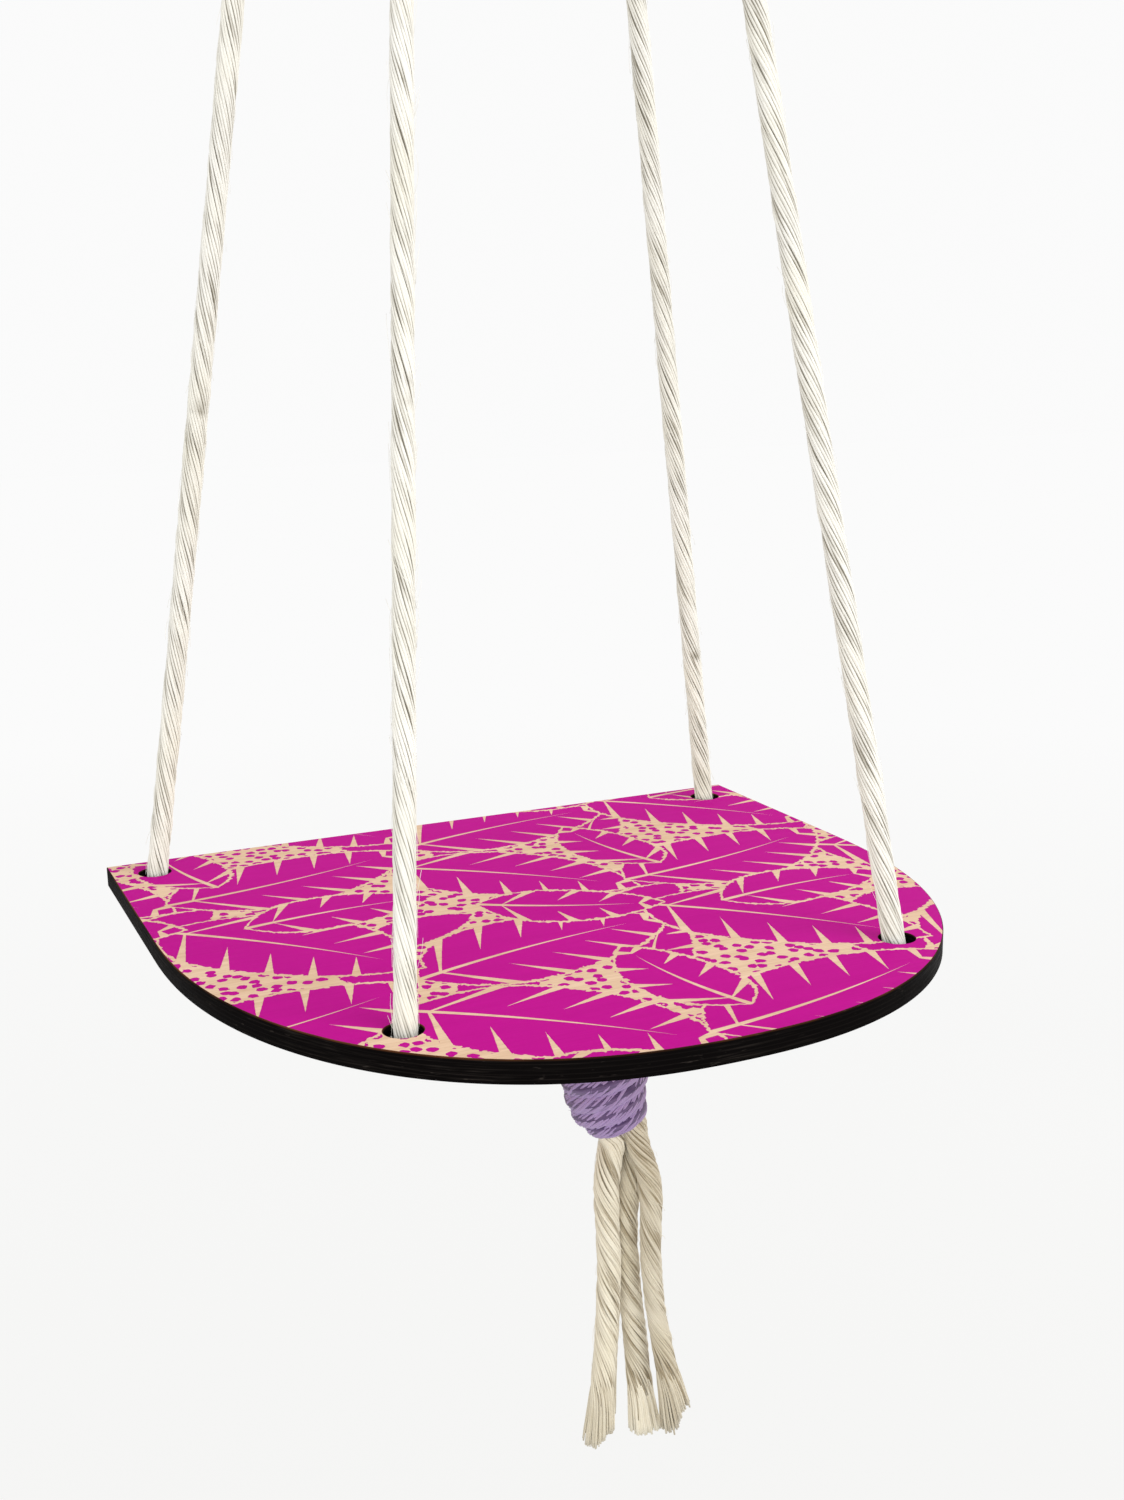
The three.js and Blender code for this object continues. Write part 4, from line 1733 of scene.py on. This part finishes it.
@dataclass
class Studio:
    """The camera, the lamps, the pale surroundings and the floor."""

    camera_place: Point = (-0.17726, -0.43301, -0.51608)
    camera_turn: Point = (77.016, 1.118, -24.341)
    lens: float = 39.54
    target: Point = (0.0, -0.06, -0.62)
    # The strongest in front on the upper right, and a weak one behind on the right
    lamps: tuple[Lamp, ...] = (
        Lamp("key", (0.9, -1.4, 0.75), 1.3, 17.0, (1.0, 0.99, 0.97)),
        Lamp("front", (-0.9, -1.7, -0.4), 1.5, 12.0, (0.995, 1.0, 0.995)),
        Lamp("fill", (1.3, 0.5, -0.6), 1.1, 6.5, (1.0, 0.995, 0.98)),
    )
    light: Colour = (1.0, 0.99, 0.97, 1.0)
    light_strength: float = 0.78
    backdrop: Colour = (0.962, 0.962, 0.962, 1.0)
    floor_height: float = -1.30
    floor_size: float = 14.0
    floor_matt: Colour = (0.62, 0.62, 0.61, 1.0)
    # Painted shade: the floor's glow is darker near the shelf and paler further away
    floor_near: Colour = (0.92, 0.92, 0.91, 1.0)
    floor_far: Colour = (0.979, 0.979, 0.979, 1.0)
    floor_fade: tuple[float, float] = (0.3, 3.2)

    def camera(self) -> None:
        """Places the camera at the photograph's view."""
        data = bpy.data.cameras.new("photograph_view")
        data.lens = self.lens
        data.sensor_fit = "VERTICAL"
        data.sensor_height = 36.0
        data.clip_start = 0.01
        camera = linked("photograph_view", data)
        camera.location = self.camera_place
        camera.rotation_euler = Euler([math.radians(a) for a in self.camera_turn], "XYZ")
        bpy.context.scene.camera = camera

    def world(self) -> None:
        """Makes the surroundings: soft light on the shelf, and nearly white where they are seen."""
        world = bpy.data.worlds.new("pale_room")
        graph = cleared(world)
        light = graph.add("Background", {"Color": self.light, "Strength": self.light_strength})
        shown = graph.add("Background", {"Color": self.backdrop, "Strength": 1.0})
        graph.add("OutputWorld", {"Surface": graph.either(graph.seen(glass=True), light, shown)})
        bpy.context.scene.world = world

    def floor(self) -> None:
        """Lays a pale floor well under the shelf, whose glow is painted darker near the shelf as painted
        shade.
        """
        mesh = bmesh.new()
        place = Matrix.Translation((0, 0, self.floor_height))
        bmesh.ops.create_grid(mesh, x_segments=1, y_segments=1, size=self.floor_size, matrix=place)
        floor = as_piece(mesh, "floor", smooth=False)
        material = bpy.data.materials.new("pale_floor")
        graph = cleared(material)
        level = graph.add("VectorMath", {0: graph.place(), 1: (1.0, 1.0, 0.0)}, operation="MULTIPLY")
        away = graph.add("VectorMath", {0: level.outputs[0]}, operation="LENGTH").outputs["Value"]
        glow_with_painted_shade = graph.mix(graph.fit(away, *self.floor_fade), self.floor_near, self.floor_far)
        matt = graph.add("BsdfDiffuse", {"Color": self.floor_matt})
        glow = graph.add("Emission", {"Color": glow_with_painted_shade})
        seen = graph.calc("MULTIPLY", graph.seen(), 0.97)
        graph.add("OutputMaterial", {"Surface": graph.either(seen, matt, glow)})
        dress(floor, material)

    def lights(self) -> None:
        """Adds the lamps and shows their light plainly."""
        for lamp in self.lamps:
            lamp.build(self.target)
        bpy.context.scene.view_settings.view_transform = "Standard"


def main() -> None:
    """Builds the scene: the camera and the cords first, then the rest of the shelf and the studio."""
    logging.basicConfig(level=logging.INFO, format="%(message)s")
    studio = Studio()
    studio.camera()
    effects = Effects()
    finishes = Finishes()
    cotton = finishes.rope.material(effects)
    shaded_tail_cotton = finishes.tail.material(effects)
    lilac = finishes.lilac.material(effects)
    ropes = RopePair(cotton)
    for side in Side:
        ropes.build(side)
    for seed, (place, fall) in enumerate(TAILS.items(), 21):
        RopeTail(place, fall, seed, shaded_tail_cotton).build()
    knot = Knot(lilac)
    knot.build_core()
    knot.build_wrap()
    TopWhipping(lilac).build()
    faces = (finishes.printed, finishes.charred, finishes.underside)
    ShelfBoard(*(finish.material(effects) for finish in faces)).build()
    HangingRing(finishes.ring.material(effects)).build()
    studio.world()
    studio.floor()
    studio.lights()


if __name__ == "__main__":
    main()
